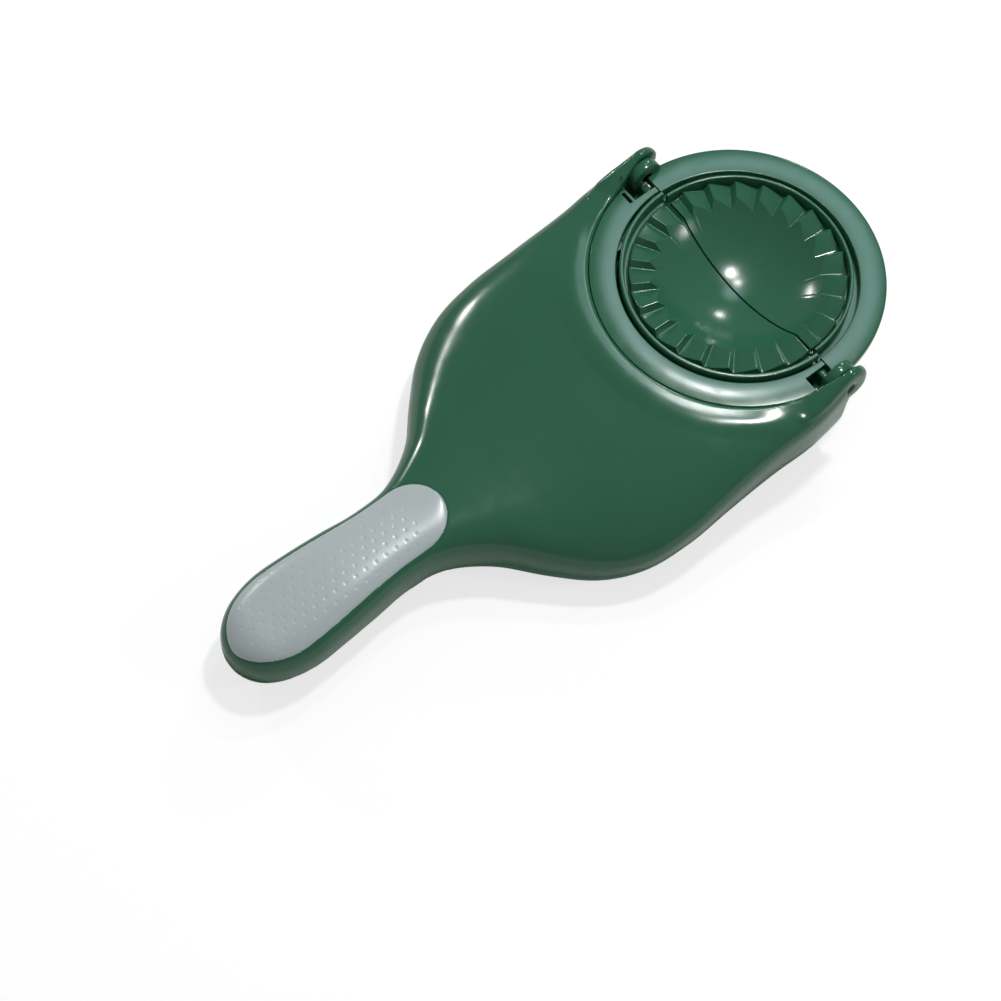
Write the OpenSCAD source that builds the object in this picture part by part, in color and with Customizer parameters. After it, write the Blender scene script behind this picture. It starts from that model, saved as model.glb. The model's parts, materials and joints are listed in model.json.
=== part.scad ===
// Hand-held dumpling maker: a hollow body with a dimpled grip, a fixed mould half under a rim with
// two hinge ears, and a folding leaf that carries the other mould half.
// X runs from the handle to the leaf, Y across and Z up. The origin is under the middle of the
// whole length, on the plane that the flat base rests on. The leaf is drawn laid open.

/* [Overall] */
// Length from the handle's end to the tip of the open leaf
overall_len = 200; // [190:1:210]
// Widest width of the body
body_w = 89.4; // [86:0.2:92]
// Height of the deck face above the resting plane
deck_h = 30; // [28:0.5:32]
// Thickness of the moulded shell wall
wall = 2; // [1.6:0.1:2.2]

/* [Hinge] */
// Radius of the rounded ears
ear_r = 6; // [5.6:0.1:6.4]
// Distance from the middle plane to the inner face of an ear
ear_in = 39.5; // [39.3:0.1:40.2]
// Distance from the middle plane to the outer face of an ear
ear_out = 42.6; // [42.2:0.1:43.2]
// How far the middle of an ear lies in front of the hinge line
ear_shift = 0.3; // [0:0.1:0.6]
// Diameter of a hinge pin
pin_d = 3; // [2:0.1:3.4]
// Length of a hinge pin
pin_len = 5.4; // [5:0.1:5.8]
// How deep the outer end of a pin lies in its ear
pin_sink = 0.9; // [0.5:0.1:1.2]
// Running clearance around the pin in the knuckle, on the radius
pin_gap = 0.06; // [0.04:0.01:0.1]
// Radius of the leaf's knuckles
knuckle_r = 4.6; // [4:0.1:5]
// Width of a knuckle along the hinge line
knuckle_w = 2.9; // [2.4:0.1:3.2]
// Clearance between a knuckle and its ear
knuckle_gap = 0.3; // [0.2:0.05:0.5]

/* [Deck] */
// Radius of the wall around the deck
rim_r = 38.4; // [38.2:0.1:39]
// Radial thickness of the rim wall
rim_t = 3.2; // [2.6:0.1:3.6]
// Thickness of the deck plate
deck_t = 2; // [1.6:0.1:2.4]
// Width of the ledge that carries the deck plate
ledge_w = 3.8; // [3:0.1:4.2]
// Thickness of that ledge
ledge_t = 2; // [1.6:0.1:2.4]
// Clearance between the deck plate and the rim wall
deck_gap = 0.15; // [0.1:0.05:0.3]
// Length of the knuckle notches behind the hinge line
notch_len = 6.9; // [6.2:0.1:7.6]
// Distance from the middle plane to the inner side of a notch
notch_in = 33; // [32.5:0.1:34]
// Diameter of the pegs under the deck plate
deck_peg_d = 2.4; // [2:0.1:2.6]
// Thickness of the thin rib behind the left notch
rib_t = 0.6; // [0.5:0.1:0.8]
// Length of the slot behind that rib
rib_slot = 1.1; // [0.8:0.1:1.4]

/* [Mould halves] */
// Inner radius of the raised ring on the rear mould half
ring_in = 29.45; // [29.3:0.05:29.6]
// Outer radius of the raised ring on the rear mould half
ring_out = 30.55; // [30.3:0.05:30.7]
// Inner radius of the raised ring on the leaf's mould half
leaf_ring_in = 28.2; // [28.15:0.05:28.4]
// Outer radius of the raised ring on the leaf's mould half
leaf_ring_out = 29.1; // [28.9:0.05:29.15]
// Height of the rings above the deck face
ring_h = 1; // [0.8:0.1:1.2]
// Clearance from the rear ring to the deck plate
ring_gap = 0.85; // [0.6:0.05:1]
// Clearance from the leaf's groove to the rear ring that folds into it
groove_gap = 0.3; // [0.2:0.05:0.4]
// Half of the seam between the two mould halves
seam_gap = 0.2; // [0.15:0.05:0.35]
// How far the bowls' edges lie behind the ends of the rings at the seam
edge_step = 0.08; // [0.04:0.02:0.2]
// Depth of the bowl under the top of the rings
bowl_depth = 10; // [9:0.5:11]
// Radius at which the bowl meets the high side of a pleat
bowl_r = 22.9; // [22.4:0.1:23.2]
// Wall thickness of the moulds
mould_t = 1.8; // [1.5:0.1:2]
// Number of pleats on each half
pleats = 12; // [8:1:14]
// Depth of the high side of a pleat under the top of the ring
pleat_high = 0.9; // [0.85:0.05:1]
// Depth of the low side of a pleat at its inner end
pleat_low = 3.05; // [2.6:0.05:3.2]
// Radius of the outer end of the pleats
pleat_out = 27.65; // [27.4:0.05:27.7]
// Share of a pleat's pitch that its riser takes
riser_part = 0.26; // [0.15:0.01:0.35]
// Depth of the moat between the pleats and the ring
moat_depth = 3.8; // [3.4:0.1:4]
// Radius of the outer end of a pleat's low side on the rear mould
rear_low_out = 27.9; // [27.7:0.05:28]
// Radius of the outer end of a pleat's low side on the leaf
leaf_low_out = 26.9; // [26.6:0.05:27]
// Depth of the low side of a pleat at its outer end
pleat_low_out = 2.7; // [2.4:0.05:3]

/* [Leaf] */
// Outer radius of the leaf
leaf_r = 37.8; // [37.4:0.1:37.9]
// Thickness of the leaf's flange
leaf_t = 2.5; // [2.2:0.1:3]
// Clearance between the faces that meet when the leaf is folded over, on each side
face_gap = 0.15; // [0.1:0.05:0.2]
// Bevel along the leaf's outer edges
leaf_bevel = 0.5; // [0.3:0.1:0.8]
// Outer radius of the mould flange under the leaf
under_r = 35; // [34.4:0.1:35.6]
// Thickness of that mould flange
under_t = 1.8; // [1.5:0.1:2.2]

/* [Grip] */
// Width of the grip pad at its wide rear part
grip_w = 22.8; // [21:0.2:24]
// Width of the grip pad at its front part
grip_front_w = 18.6; // [17:0.2:20]
// Distance from the handle's end to the pad's rear edge
grip_start = 1; // [0.8:0.1:3]
// Distance from the handle's end to the pad's front edge
grip_end = 65; // [62:0.5:68]
// Thickness of the pad that is let into the handle
grip_sunk = 1.1; // [0.9:0.1:1.3]
// Height of the pad above the handle
grip_proud = 0.6; // [0.3:0.1:1]
// Clearance around the pad
grip_gap = 0.15; // [0.1:0.05:0.3]
// Diameter of the pegs that hold the pad
grip_peg_d = 4; // [3:0.1:5]

/* [Base cover] */
// Height of the parting line above the underside
parting_h = 4; // [3.4:0.1:4.6]
// Gap of the parting line
parting_gap = 0.15; // [0.1:0.05:0.25]

/* [Screws] */
// Shaft diameter of the cover screws
cover_screw_d = 3; // [2.6:0.1:3.4]
// Head diameter of the cover screws
cover_head_d = 5.4; // [5:0.1:6]
// Head height of the cover screws
cover_head_h = 1.8; // [1.4:0.1:2]
// Shaft diameter of the small screws that hold the moulds
small_screw_d = 2; // [1.6:0.1:2.2]
// Head diameter of those small screws
small_head_d = 3.6; // [3.2:0.1:4]
// Head height of those small screws
small_head_h = 1.2; // [1:0.1:1.4]
// Clearance of the screw holes, on the radius
screw_gap = 0.15; // [0.1:0.05:0.3]

/* [Hidden] */
$fn = 96;
green = [0.16, 0.37, 0.27];
grey = [0.72, 0.76, 0.76];
steel = [0.7, 0.7, 0.72];
// Small overshoot that makes cuts pass through a face
eps = 0.5;
// Length of the cuts that pass through a whole part
through = 20;
// Rim radius for which the radii of the rings, bowls, leaf and ears are given. They move with it
given_rim_r = 38.4;
rim_shift = rim_r - given_rim_r;
ear_inner = ear_in + rim_shift;
ear_outer = ear_out + rim_shift;
notch_inner = notch_in + rim_shift;
ring_inner = ring_in + rim_shift;
ring_outer = ring_out + rim_shift;
leaf_ring_inner = leaf_ring_in + rim_shift;
leaf_ring_outer = leaf_ring_out + rim_shift;
bowl_edge_r = bowl_r + rim_shift;
pleat_outer = pleat_out + rim_shift;
rear_low_outer = rear_low_out + rim_shift;
leaf_low_outer = leaf_low_out + rim_shift;
leaf_edge_r = leaf_r + rim_shift;
under_edge_r = under_r + rim_shift;
hinge_x = overall_len / 2 - leaf_edge_r - seam_gap;
end_x = -overall_len / 2;
body_len = hinge_x - end_x;
half_w = body_w / 2;
// Body length and half width for which the stations below are given. They stretch with it
given_len = 162;
given_half_w = 44.7;
len_share = body_len / given_len;
width_stretch = half_w / given_half_w;
// Half a turn, in degrees
half_turn_deg = 180;
knuckle_out = ear_inner - knuckle_gap;
knuckle_in = knuckle_out - knuckle_w;
ledge_r = rim_r - ledge_w;
deck_in = ring_outer + ring_gap;
deck_top = deck_h - face_gap;
deck_under = deck_top - deck_t;
leaf_under = deck_top - leaf_t;
groove_out = ring_outer + groove_gap;
ring_top = deck_h + ring_h;
ledge_under = deck_under - ledge_t;
lug_top = ledge_under;
lug_drop = deck_under - lug_top;
pitch = half_turn_deg / pleats;

// Distances from the handle's end at which the half width is set, and the half widths there
width_at = [0, 4, 9, 17, 26, 36, 47, 57, 64, 70, 78, 87, 98, 110, 124, 140, 152, 162.2];
width_share = [0, 0.193, 0.259, 0.298, 0.29, 0.272, 0.25, 0.274, 0.35, 0.448, 0.642, 0.834,
               0.962, 1, 0.989, 0.978, 0.984, 0.96];
// Distances at which the heights and the roundness are set
height_at = [0, 30, 60, 85, 110, 124, 140, 152, 162.2];
// Heights of the crown, of the widest line and of the underside, from the deck face
crown_rel = [-10.5, -7.9, -7.5, -5.8, -2, 0.3, 0.9, 2.2, 6];
waist_rel = [-20, -18.3, -19, -19, -14, -12, -10.8, -9.5, -8];
under_rel = [-25.5, -24.8, -26, -35, -36, -36, -36, -36, -36];
// Exponents of the upper half of the section: 2 is an ellipse, more is boxier
crown_exp = [3.2, 3.9, 3.8, 2.3, 2.5, 3.2, 5, 7, 8];
under_exp = 2.6;
// Stations of the body along its length
stations = [0, 0.7, 2, 4, 7, 11, 16, 22, 29, 37, 45, 52, 58, 63, 68, 73, 78, 83, 89, 96, 104, 113,
            122, 131, 140, 149, 156];
arc_steps = 28;

// Slope of a curve through the stations xs, ys at its station k
function slope(xs, ys, k) =
    let (n = len(xs) - 1)
    k == 0 ? (ys[1] - ys[0]) / (xs[1] - xs[0])
    : k == n ? (ys[n] - ys[n - 1]) / (xs[n] - xs[n - 1])
    : let (h0 = xs[k] - xs[k - 1], h1 = xs[k + 1] - xs[k])
      ((ys[k] - ys[k - 1]) / h0 * h1 + (ys[k + 1] - ys[k]) / h1 * h0) / (h0 + h1);

// Index of the span of xs that holds x
function span_of(xs, x, k = 0) = k >= len(xs) - 2 || x < xs[k + 1] ? k : span_of(xs, x, k + 1);

// Smooth curve through the stations xs, ys
function curve(xs, ys, x) =
    let (k = span_of(xs, x), h = xs[k + 1] - xs[k], t = (x - xs[k]) / h,
         m0 = slope(xs, ys, k), m1 = slope(xs, ys, k + 1))
    (2 * t ^ 3 - 3 * t ^ 2 + 1) * ys[k] + (t ^ 3 - 2 * t ^ 2 + t) * h * m0
    + (3 * t ^ 2 - 2 * t ^ 3) * ys[k + 1] + (t ^ 3 - t ^ 2) * h * m1;

// Square roots of the width stations, so that the handle's end is round
width_root = [for (d = width_at) sqrt(d)];
// Station shift that leaves a small flat at the very end
end_flat = 0.15;
// Length over which the handle's end closes in
end_round = 9;
// Share of the height that the very end keeps
end_share = 0.25;

// Half width of the body at distance d from the handle's end
function width_of(d) =
    half_w * curve(width_root, width_share, sqrt(min(d + end_flat, body_len) / len_share));
// Closing factor of the heights at the handle's end
function close_of(d) = end_share + (1 - end_share) * sqrt(1 - (1 - min(d / end_round, 1)) ^ 2);
function waist_of(d) = deck_h + curve(height_at, waist_rel, d / len_share);
function crown_of(d) = deck_h + curve(height_at, crown_rel, d / len_share);
function rise_of(d) = close_of(d) * (crown_of(d) - waist_of(d));
function under_of(d) = deck_h + curve(height_at, under_rel, d / len_share);
function drop_of(d) = close_of(d) * (waist_of(d) - under_of(d));
function crown_exp_of(d) = curve(height_at, crown_exp, d / len_share);
// Signed power, which draws the rounded sections
function spow(v, p) = sign(v) * abs(v) ^ p;

// Height of the parting line at distance d
function parting_of(d) = parting_h + max(0, waist_of(d) - drop_of(d));

// Extra share of the wall under the grip pad, its reach past the pad and the length of its fade
bed_more = 0.5;
bed_past = 8;
bed_fade = 10;
function pad_bed(d) = bed_more * max(0, min(1, (grip_end + bed_past - d) / bed_fade));

// Point of the section at distance d and angle u, moved inward by t, no lower than the height low
function section(d, u, t, low) =
    let (n = sin(u) >= 0 ? crown_exp_of(d) : under_exp,
         h = sin(u) >= 0 ? rise_of(d) - t * (1 + pad_bed(d)) : drop_of(d) - t)
    [(width_of(d) - t) * spow(cos(u), 2 / n), max(low, waist_of(d) + h * spow(sin(u), 2 / n))];

// Angle below the waist at which the section meets the height z
function angle_at(d, z, t) =
    asin(min(1, max(0, (waist_of(d) - z) / (drop_of(d) - t))) ^ (under_exp / 2));

// Upper arc of the section at distance d, from the height z over the crown and down again
function upper_arc(d, z, t) =
    let (a = angle_at(d, z, t))
    [for (i = [0 : arc_steps])
        let (p = section(d, -a + (half_turn_deg + 2 * a) * i / arc_steps, t, 0))
        [end_x + d, p[0], p[1]]];

// Lower arc of the section at distance d, under the height z
function lower_arc(d, z, t) =
    let (a = angle_at(d, z, t))
    [for (i = [0 : arc_steps])
        let (p = section(d, -a - (half_turn_deg - 2 * a) * i / arc_steps, t, t))
        [end_x + d, p[0], p[1]]];

// Closed solid between rows of points, each row running around an open arc, with flat ends
module arc_solid(rows) {
    n = len(rows);
    m = len(rows[0]);
    side = [for (k = [0 : n - 2]) for (i = [0 : m - 1])
        let (a = k * m + i, b = k * m + (i + 1) % m, c = a + m, d = b + m)
        each [[a, c, b], [b, c, d]]];
    first = [for (i = [0 : m - 1]) i];
    last = [for (i = [m - 1 : -1 : 0]) (n - 1) * m + i];
    polyhedron([for (r = rows) each r], concat([first, last], side));
}

// Full solid under the upper surface, moved inward by t, from distance d0 to d1
module crown_solid(t, d0, d1, z_drop) {
    scale_d = (d1 - d0) / body_len;
    far = [for (d = concat(stations, [given_len])) d * len_share];
    arc_solid([for (d = far)
        let (q = d0 + d * scale_d)
        upper_arc(q, parting_of(q) + parting_gap / 2 - z_drop, t)]);
}

// Full solid of the underside, moved inward by t, from distance d0 to d1
module keel_solid(t, d0, d1, z_rise) {
    scale_d = (d1 - d0) / body_len;
    far = [for (d = concat(stations, [given_len])) d * len_share];
    arc_solid([for (d = [for (i = [len(far) - 1 : -1 : 0]) far[i]])
        let (q = d0 + d * scale_d)
        lower_arc(q, parting_of(q) - parting_gap / 2 + z_rise, t)]);
}

// Shares of the pad's length: its wide part, its taper and the rounding of its rear and front ends
grip_wide = 0.25;
grip_taper = 0.5;
grip_rear = 0.24;
grip_front = 0.16;

// Outline of the grip pad: half width at the share s of its length
function grip_half(s, grow) =
    let (t = max(0, min(1, (s - grip_wide) / grip_taper)),
         mid = grip_w / 2 + (grip_front_w - grip_w) / 2 * t ^ 2 * (3 - 2 * t),
         rear_round = sqrt(max(0, 1 - (1 - min(1, s / grip_rear)) ^ 2)),
         front_round = sqrt(max(0, 1 - (1 - min(1, (1 - s) / grip_front)) ^ 2)))
    (mid + grow) * min(rear_round, front_round);

// Height of the upper surface at distance d and offset y
function crown_z(d, y) =
    let (n = crown_exp_of(d), q = min(1, abs(y) / width_of(d)))
    waist_of(d) + rise_of(d) * (1 - q ^ n) ^ (1 / n);

grip_rows = [0.003, 0.02, 0.055, 0.11, 0.2, 0.32, 0.44, 0.56, 0.68, 0.78, 0.86, 0.92, 0.96, 0.985, 0.998];
grip_steps = 10;

// Solid that follows the handle's crown over the grip outline, from low to high of the crown
module grip_solid(grow, low, high, edge_drop) {
    arc_solid([for (s = grip_rows)
        let (d = grip_start - grow + (grip_end - grip_start + 2 * grow) * s, h = grip_half(s, grow))
        concat(
            [for (i = [0 : grip_steps])
                let (q = 1 - 2 * i / grip_steps, y = h * q)
                [end_x + d, y, crown_z(d, y) + high - edge_drop * abs(q) ^ 6]],
            [for (i = [0 : grip_steps])
                let (y = h * (2 * i / grip_steps - 1))
                [end_x + d, y, crown_z(d, y) + low]])]);
}

// Places of the grip pegs, from the handle's end
grip_pegs = [20, 50];
grip_peg_len = 3.2;
// Clearance of the pegs in their holes, on the radius
peg_gap = 0.05;
// How far the pad's upper face falls toward its edge
pad_edge_drop = 0.5;

// Places of the cover screws: behind the hinge line, from the middle, and boss tops under the deck
cover_back = [30, 66];
cover_side = [29, 20];
cover_drop = [3, 7.6];
cover_places = [for (k = [0, 1]) for (s = [1, -1])
    [cover_back[k] * len_share, s * cover_side[k] * width_stretch, deck_h - cover_drop[k]]];
boss_d = 7;
cover_boss_d = 8.4;
cover_screw_len = 9;
// How deep the screw heads lie under the cover's face
head_sink = 0.6;
// The screw in the handle, from the handle's end
handle_screw = 35;
handle_boss_d = 6.4;
handle_cover_boss_d = 7.6;
// Wall that stays over the handle's boss
boss_cap = 0.8;
handle_boss_top = crown_of(handle_screw) - grip_sunk - boss_cap;
handle_screw_len = 6;
handle_screw_z = waist_of(handle_screw) - drop_of(handle_screw) + head_sink;

// Directions of the small screws around each mould half
mould_screw_at = [-55, 0, 55];
leaf_screw_at = [-55, 0, 55];
// Directions of the deck plate's pegs
deck_peg_at = [-72, -20, 20, 72];
deck_peg_r = (ledge_r + rim_r) / 2;
// How far the pegs pass the ledge
peg_past = 0.4;
// Distance of the lugs inward from the ledge, and of the leaf's screws inward from its edge
lug_back = 2.4;
lug_r = ledge_r - lug_back;
lug_d = 4.4;
leaf_screw_back = 4.9;
leaf_screw_r = leaf_edge_r - leaf_screw_back;
// Depth of the screw holes in the leaf's flange
leaf_pilot = 1.8;
// Extra room around a knuckle
knuckle_room = 0.6;
// Length of the slot behind the left notch
rib_len = 3.6;
// Clearance around the rear mould in the front wall
window_gap = 0.2;
// Underside of the moat's floor and lower end of the rear mould's wall
moat_under = ring_top - moat_depth - mould_t;
mould_low = lug_top - under_t;
// Extra height of the cavity cuts past the parting line
cavity_past = 3;
// Clearance under the grip pad
pad_under_gap = 0.05;
// Shares of a screw head's diameter and height that its cross recess takes
recess_len = 0.6;
recess_w = 0.14;
recess_deep = 0.5;

// Radius of the ball that the bowl is a part of
bowl_ball = (bowl_edge_r ^ 2 + (bowl_depth - pleat_high) ^ 2) / (2 * (bowl_depth - pleat_high));
// Radius at which the bowl reaches the low side of a pleat
bowl_low_r = sqrt(bowl_ball ^ 2 - (bowl_ball - bowl_depth + pleat_low) ^ 2);
// Shares of the bowl's radius at which its surface has points
bowl_rings = [0, 0.3, 0.55, 0.75, 0.9, 1];
// Lean of the wall that falls from the pleats into the moat
moat_lean = 0.05;
// Width of the web between the bowl's wall and the moat's floor
web_w = 1;
// How far the mould's body reaches into the ring's wall
ring_core = 0.5;
// Shift of the risers from the hinge line, in pitches
rear_shift = 0;
leaf_shift = 0.5;

// Place on a circle around the middle of the mould half on the side s: 1 is the leaf, -1 the rear
module around(s, a, r) {
    translate([hinge_x + s * (seam_gap + r * cos(a)), r * sin(a), 0]) children();
}

// Cylinder along Y between two distances from the middle plane, on the side s
module across(r, y0, y1, s, dx = 0, dz = 0) {
    translate([hinge_x + dx, s * y0, deck_h + dz])
        rotate([-90 * s, 0, 0])
            cylinder(r = r, h = y1 - y0);
}

// Half turn of a profile around the middle of the mould half on the side s
module half_turn(s) {
    translate([hinge_x + s * seam_gap, 0, 0])
        rotate([0, 0, -90 * s])
            rotate_extrude(angle = half_turn_deg)
                children();
}

// Half ring on the side s, between two radii and two heights
module half_ring(s, r0, r1, z0, z1) {
    half_turn(s) translate([r0, z0]) square([r1 - r0, z1 - z0]);
}

// Cylinder around the middle of the mould half on the side s
module full_disc(s, r, z0, z1) {
    translate([hinge_x + s * seam_gap, 0, z0]) cylinder(r = r, h = z1 - z0);
}

module boss(x, y, z0, z1, d) {
    translate([x, y, z0]) cylinder(d = d, h = z1 - z0);
}

// The moulded upper body: bulb, handle, rim and hinge ears
module upper_shell() {
    color(green)
    difference() {
        union() {
            difference() {
                union() {
                    difference() {
                        crown_solid(0, 0, body_len - seam_gap, 0);
                        crown_solid(wall, wall + end_flat, body_len - seam_gap - wall, cavity_past);
                    }
                    intersection() {
                        crown_solid(wall / 4, 0, body_len - seam_gap, 0);
                        half_ring(-1, rim_r - eps, rim_r + rim_t, ledge_under, deck_h + ear_r + eps);
                    }
                    half_ring(-1, ledge_r, rim_r + rim_t, ledge_under, deck_under);
                    shell_bosses();
                }
                full_disc(-1, rim_r, deck_under, deck_h + 2 * ear_r);
                full_disc(-1, ledge_r, ledge_under - eps, deck_h);
                front_window(window_gap);
            }
            for (s = [-1, 1]) across(ear_r, ear_inner, ear_outer, s, ear_shift);
        }
        for (s = [-1, 1]) {
            across(knuckle_r + knuckle_room, notch_inner, ear_inner, s);
            notch_cut(s, ledge_under - eps);
            across(pin_d / 2, ear_inner - eps, max(half_w, ear_outer) + eps, s);
        }
        grip_solid(grip_gap, -grip_sunk - pad_under_gap, 2 * wall, 0);
        for (d = grip_pegs) translate([end_x + d, 0, parting_of(d)])
            cylinder(d = grip_peg_d + 2 * peg_gap, h = through);
        for (a = deck_peg_at) around(-1, a, deck_peg_r) translate([0, 0, ledge_under - eps])
            cylinder(d = deck_peg_d + 2 * peg_gap, h = 2 * ledge_t);
        for (p = cover_places) translate([hinge_x - p[0], p[1], 0])
            cylinder(d = cover_screw_d, h = head_sink + cover_head_h + cover_screw_len + eps);
        translate([end_x + handle_screw, 0, 0])
            cylinder(d = cover_screw_d, h = handle_screw_z + cover_head_h + handle_screw_len + eps);
    }
}

// Screw bosses inside the shell
module shell_bosses() {
    for (p = cover_places) boss(hinge_x - p[0], p[1], parting_h + parting_gap, p[2], boss_d);
    boss(end_x + handle_screw, 0, parting_of(handle_screw) + parting_gap, handle_boss_top, handle_boss_d);
}

// Opening in the front wall that follows the rear mould from below
module front_window(gap) {
    translate([hinge_x - 4 * wall, -notch_inner - gap, moat_under - gap])
        cube([8 * wall, 2 * (notch_inner + gap), through]);
    for (s = [-1, 1])
        translate([hinge_x - 4 * wall, s > 0 ? ring_inner - gap : -ring_outer - gap, mould_low - gap])
            cube([8 * wall, ring_outer - ring_inner + 2 * gap, through]);
    translate([hinge_x - 4 * wall, 0, ring_top - bowl_depth + bowl_ball])
        rotate([0, 90, 0]) cylinder(r = bowl_ball + mould_t + gap, h = 8 * wall);
}

// Room for a knuckle behind the hinge line
module notch_cut(s, z0) {
    translate([hinge_x - notch_len, s > 0 ? notch_inner : -rim_r, z0])
        cube([notch_len + through, rim_r - notch_inner, through]);
}

// The flat cover that closes the underside
module base_cover() {
    color(green)
    difference() {
        union() {
            difference() {
                keel_solid(0, 0, body_len - seam_gap, 0);
                keel_solid(wall, wall + end_flat, body_len - seam_gap - wall, cavity_past);
            }
            for (p = cover_places) boss(hinge_x - p[0], p[1], wall / 2, parting_h, cover_boss_d);
            boss(end_x + handle_screw, 0, handle_screw_z - head_sink + wall / 2,
                 parting_of(handle_screw), handle_cover_boss_d);
        }
        for (p = cover_places) translate([hinge_x - p[0], p[1], head_sink]) screw_hole();
        translate([end_x + handle_screw, 0, handle_screw_z]) screw_hole();
    }
}

// Stepped hole for a cover screw, measured from the outer face of its head
module screw_hole() {
    translate([0, 0, -through]) cylinder(d = cover_head_d + 2 * screw_gap, h = through + cover_head_h);
    cylinder(d = cover_screw_d + 2 * screw_gap, h = through);
}

// The soft pad on the handle, with two pegs
module grip_pad() {
    color(grey)
    union() {
        grip_solid(0, -grip_sunk, grip_proud, pad_edge_drop);
        for (d = grip_pegs) translate([end_x + d, 0, crown_z(d, 0) - grip_peg_len])
            cylinder(d = grip_peg_d, h = grip_peg_len);
    }
}

// The plate that closes the head around the rear mould
module deck_plate() {
    color(green)
    difference() {
        union() {
            half_ring(-1, deck_in - eps, rim_r - deck_gap, deck_under, deck_top);
            for (a = mould_screw_at) around(-1, a, lug_r) translate([0, 0, lug_top])
                cylinder(d = lug_d, h = lug_drop + eps);
            for (a = deck_peg_at) around(-1, a, deck_peg_r)
                translate([0, 0, ledge_under - peg_past])
                    cylinder(d = deck_peg_d, h = ledge_t + peg_past + eps);
        }
        full_disc(-1, deck_in, 0, 2 * deck_h);
        for (a = mould_screw_at) around(-1, a, lug_r)
            cylinder(d = small_screw_d, h = deck_under + eps / 2);
        for (s = [-1, 1]) notch_cut(s, deck_under - eps);
        translate([hinge_x - notch_len - rib_t - rib_slot, notch_inner, deck_under - eps])
            cube([rib_slot, rib_len, through]);
    }
}

// Depth of the smooth bowl under the ring's top at radius r
function bowl_at(r) = bowl_depth - (bowl_ball - sqrt(bowl_ball ^ 2 - r ^ 2));

// Column of radii and depths down a mould, at the height share p of a pleat: 1 is high, 0 is low
function mould_column(p, low_out, core) =
    let (r_in = bowl_low_r + (bowl_edge_r - bowl_low_r) * p,
         r_out = low_out + (pleat_outer - low_out) * p,
         d_in = pleat_low + (pleat_high - pleat_low) * p,
         d_out = pleat_low_out + (pleat_high - pleat_low_out) * p)
    concat(
        [for (s = bowl_rings) [r_in * s, s < 1 ? bowl_at(r_in * s) : d_in]],
        [[r_out, d_out], [r_out + moat_lean, moat_depth], [core, moat_depth],
         [core, moat_depth + mould_t], [bowl_low_r + web_w, moat_depth + mould_t]],
        [for (i = [len(bowl_rings) - 2 : -1 : 0])
            [bowl_low_r * bowl_rings[i], bowl_at(bowl_low_r * bowl_rings[i]) + mould_t]]);

// Height share of the pleats at the place t, in pitches, with the risers shifted by off
function pleat_share(t, off) =
    let (u = (t - off + 4) % 1, half = riser_part / 2)
    u < half ? 0.5 - u / riser_part
    : u > 1 - half ? 0.5 + (1 - u) / riser_part
    : (u - half) / (1 - riser_part);

// Places and height shares of the lines along the pleats, with the risers shifted by off
function pleat_lines(off) =
    let (half = riser_part / 2,
         cuts = [for (k = [-1 : pleats]) each [[k + off - half, 1], [k + off + half, 0]]],
         edge = 0.02)
    concat([[0, pleat_share(0, off)]],
           [for (c = cuts) if (c[0] > edge && c[0] < pleats - edge) c],
           [[pleats, pleat_share(pleats, off)]]);

// Bowl, pleats and moat of the half mould on the side s, as one closed solid
module pleat_body(s, off, low_out, core) {
    rows = [for (c = pleat_lines(off))
        let (a = -90 * s + c[0] * pitch)
        [for (q = mould_column(c[1], low_out, core))
            [hinge_x + s * (seam_gap + edge_step) + q[0] * cos(a), q[0] * sin(a), ring_top - q[1]]]];
    n = len(rows);
    m = len(rows[0]);
    // Every column starts and ends on the middle axis, so the first one's ends serve them all
    wall_faces = [for (k = [0 : n - 2]) for (i = [1 : m - 3])
        let (a = k * m + i, b = a + 1, c = a + m, d = b + m)
        each [[a, c, b], [b, c, d]]];
    bowl_fan = [for (k = [0 : n - 2]) [0, (k + 1) * m + 1, k * m + 1]];
    under_fan = [for (k = [0 : n - 2]) [m - 1, k * m + m - 2, (k + 1) * m + m - 2]];
    first = [for (i = [0 : m - 1]) i];
    last = concat([m - 1], [for (i = [m - 2 : -1 : 1]) (n - 1) * m + i], [0]);
    polyhedron([for (r = rows) each r], concat(wall_faces, bowl_fan, under_fan, [first, last]));
}

// The mould half that is fixed in the head
module rear_mould() {
    color(green)
    difference() {
        union() {
            pleat_body(-1, rear_shift, rear_low_outer, ring_inner + ring_core);
            half_ring(-1, ring_inner, ring_outer, mould_low, ring_top);
            for (a = mould_screw_at) around(-1, a, lug_r) translate([0, 0, mould_low])
                cylinder(d = lug_d, h = under_t);
        }
        for (a = mould_screw_at) around(-1, a, lug_r)
            cylinder(d = small_screw_d + 2 * screw_gap, h = lug_top + eps);
    }
}

// The folding leaf: flange and knuckles
module leaf_frame() {
    color(green)
    difference() {
        union() {
            half_turn(1) polygon([
                [groove_out, leaf_under],
                [leaf_edge_r - leaf_bevel, leaf_under],
                [leaf_edge_r, leaf_under + leaf_bevel],
                [leaf_edge_r, deck_top - leaf_bevel],
                [leaf_edge_r - leaf_bevel, deck_top],
                [groove_out, deck_top]]);
            for (s = [-1, 1]) across(knuckle_r, knuckle_in, knuckle_out, s);
        }
        for (s = [-1, 1]) across(pin_d / 2 + pin_gap, knuckle_in - eps, ear_outer, s);
        for (a = leaf_screw_at) around(1, a, leaf_screw_r) translate([0, 0, leaf_under - eps])
            cylinder(d = small_screw_d, h = leaf_pilot + eps);
    }
}

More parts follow.
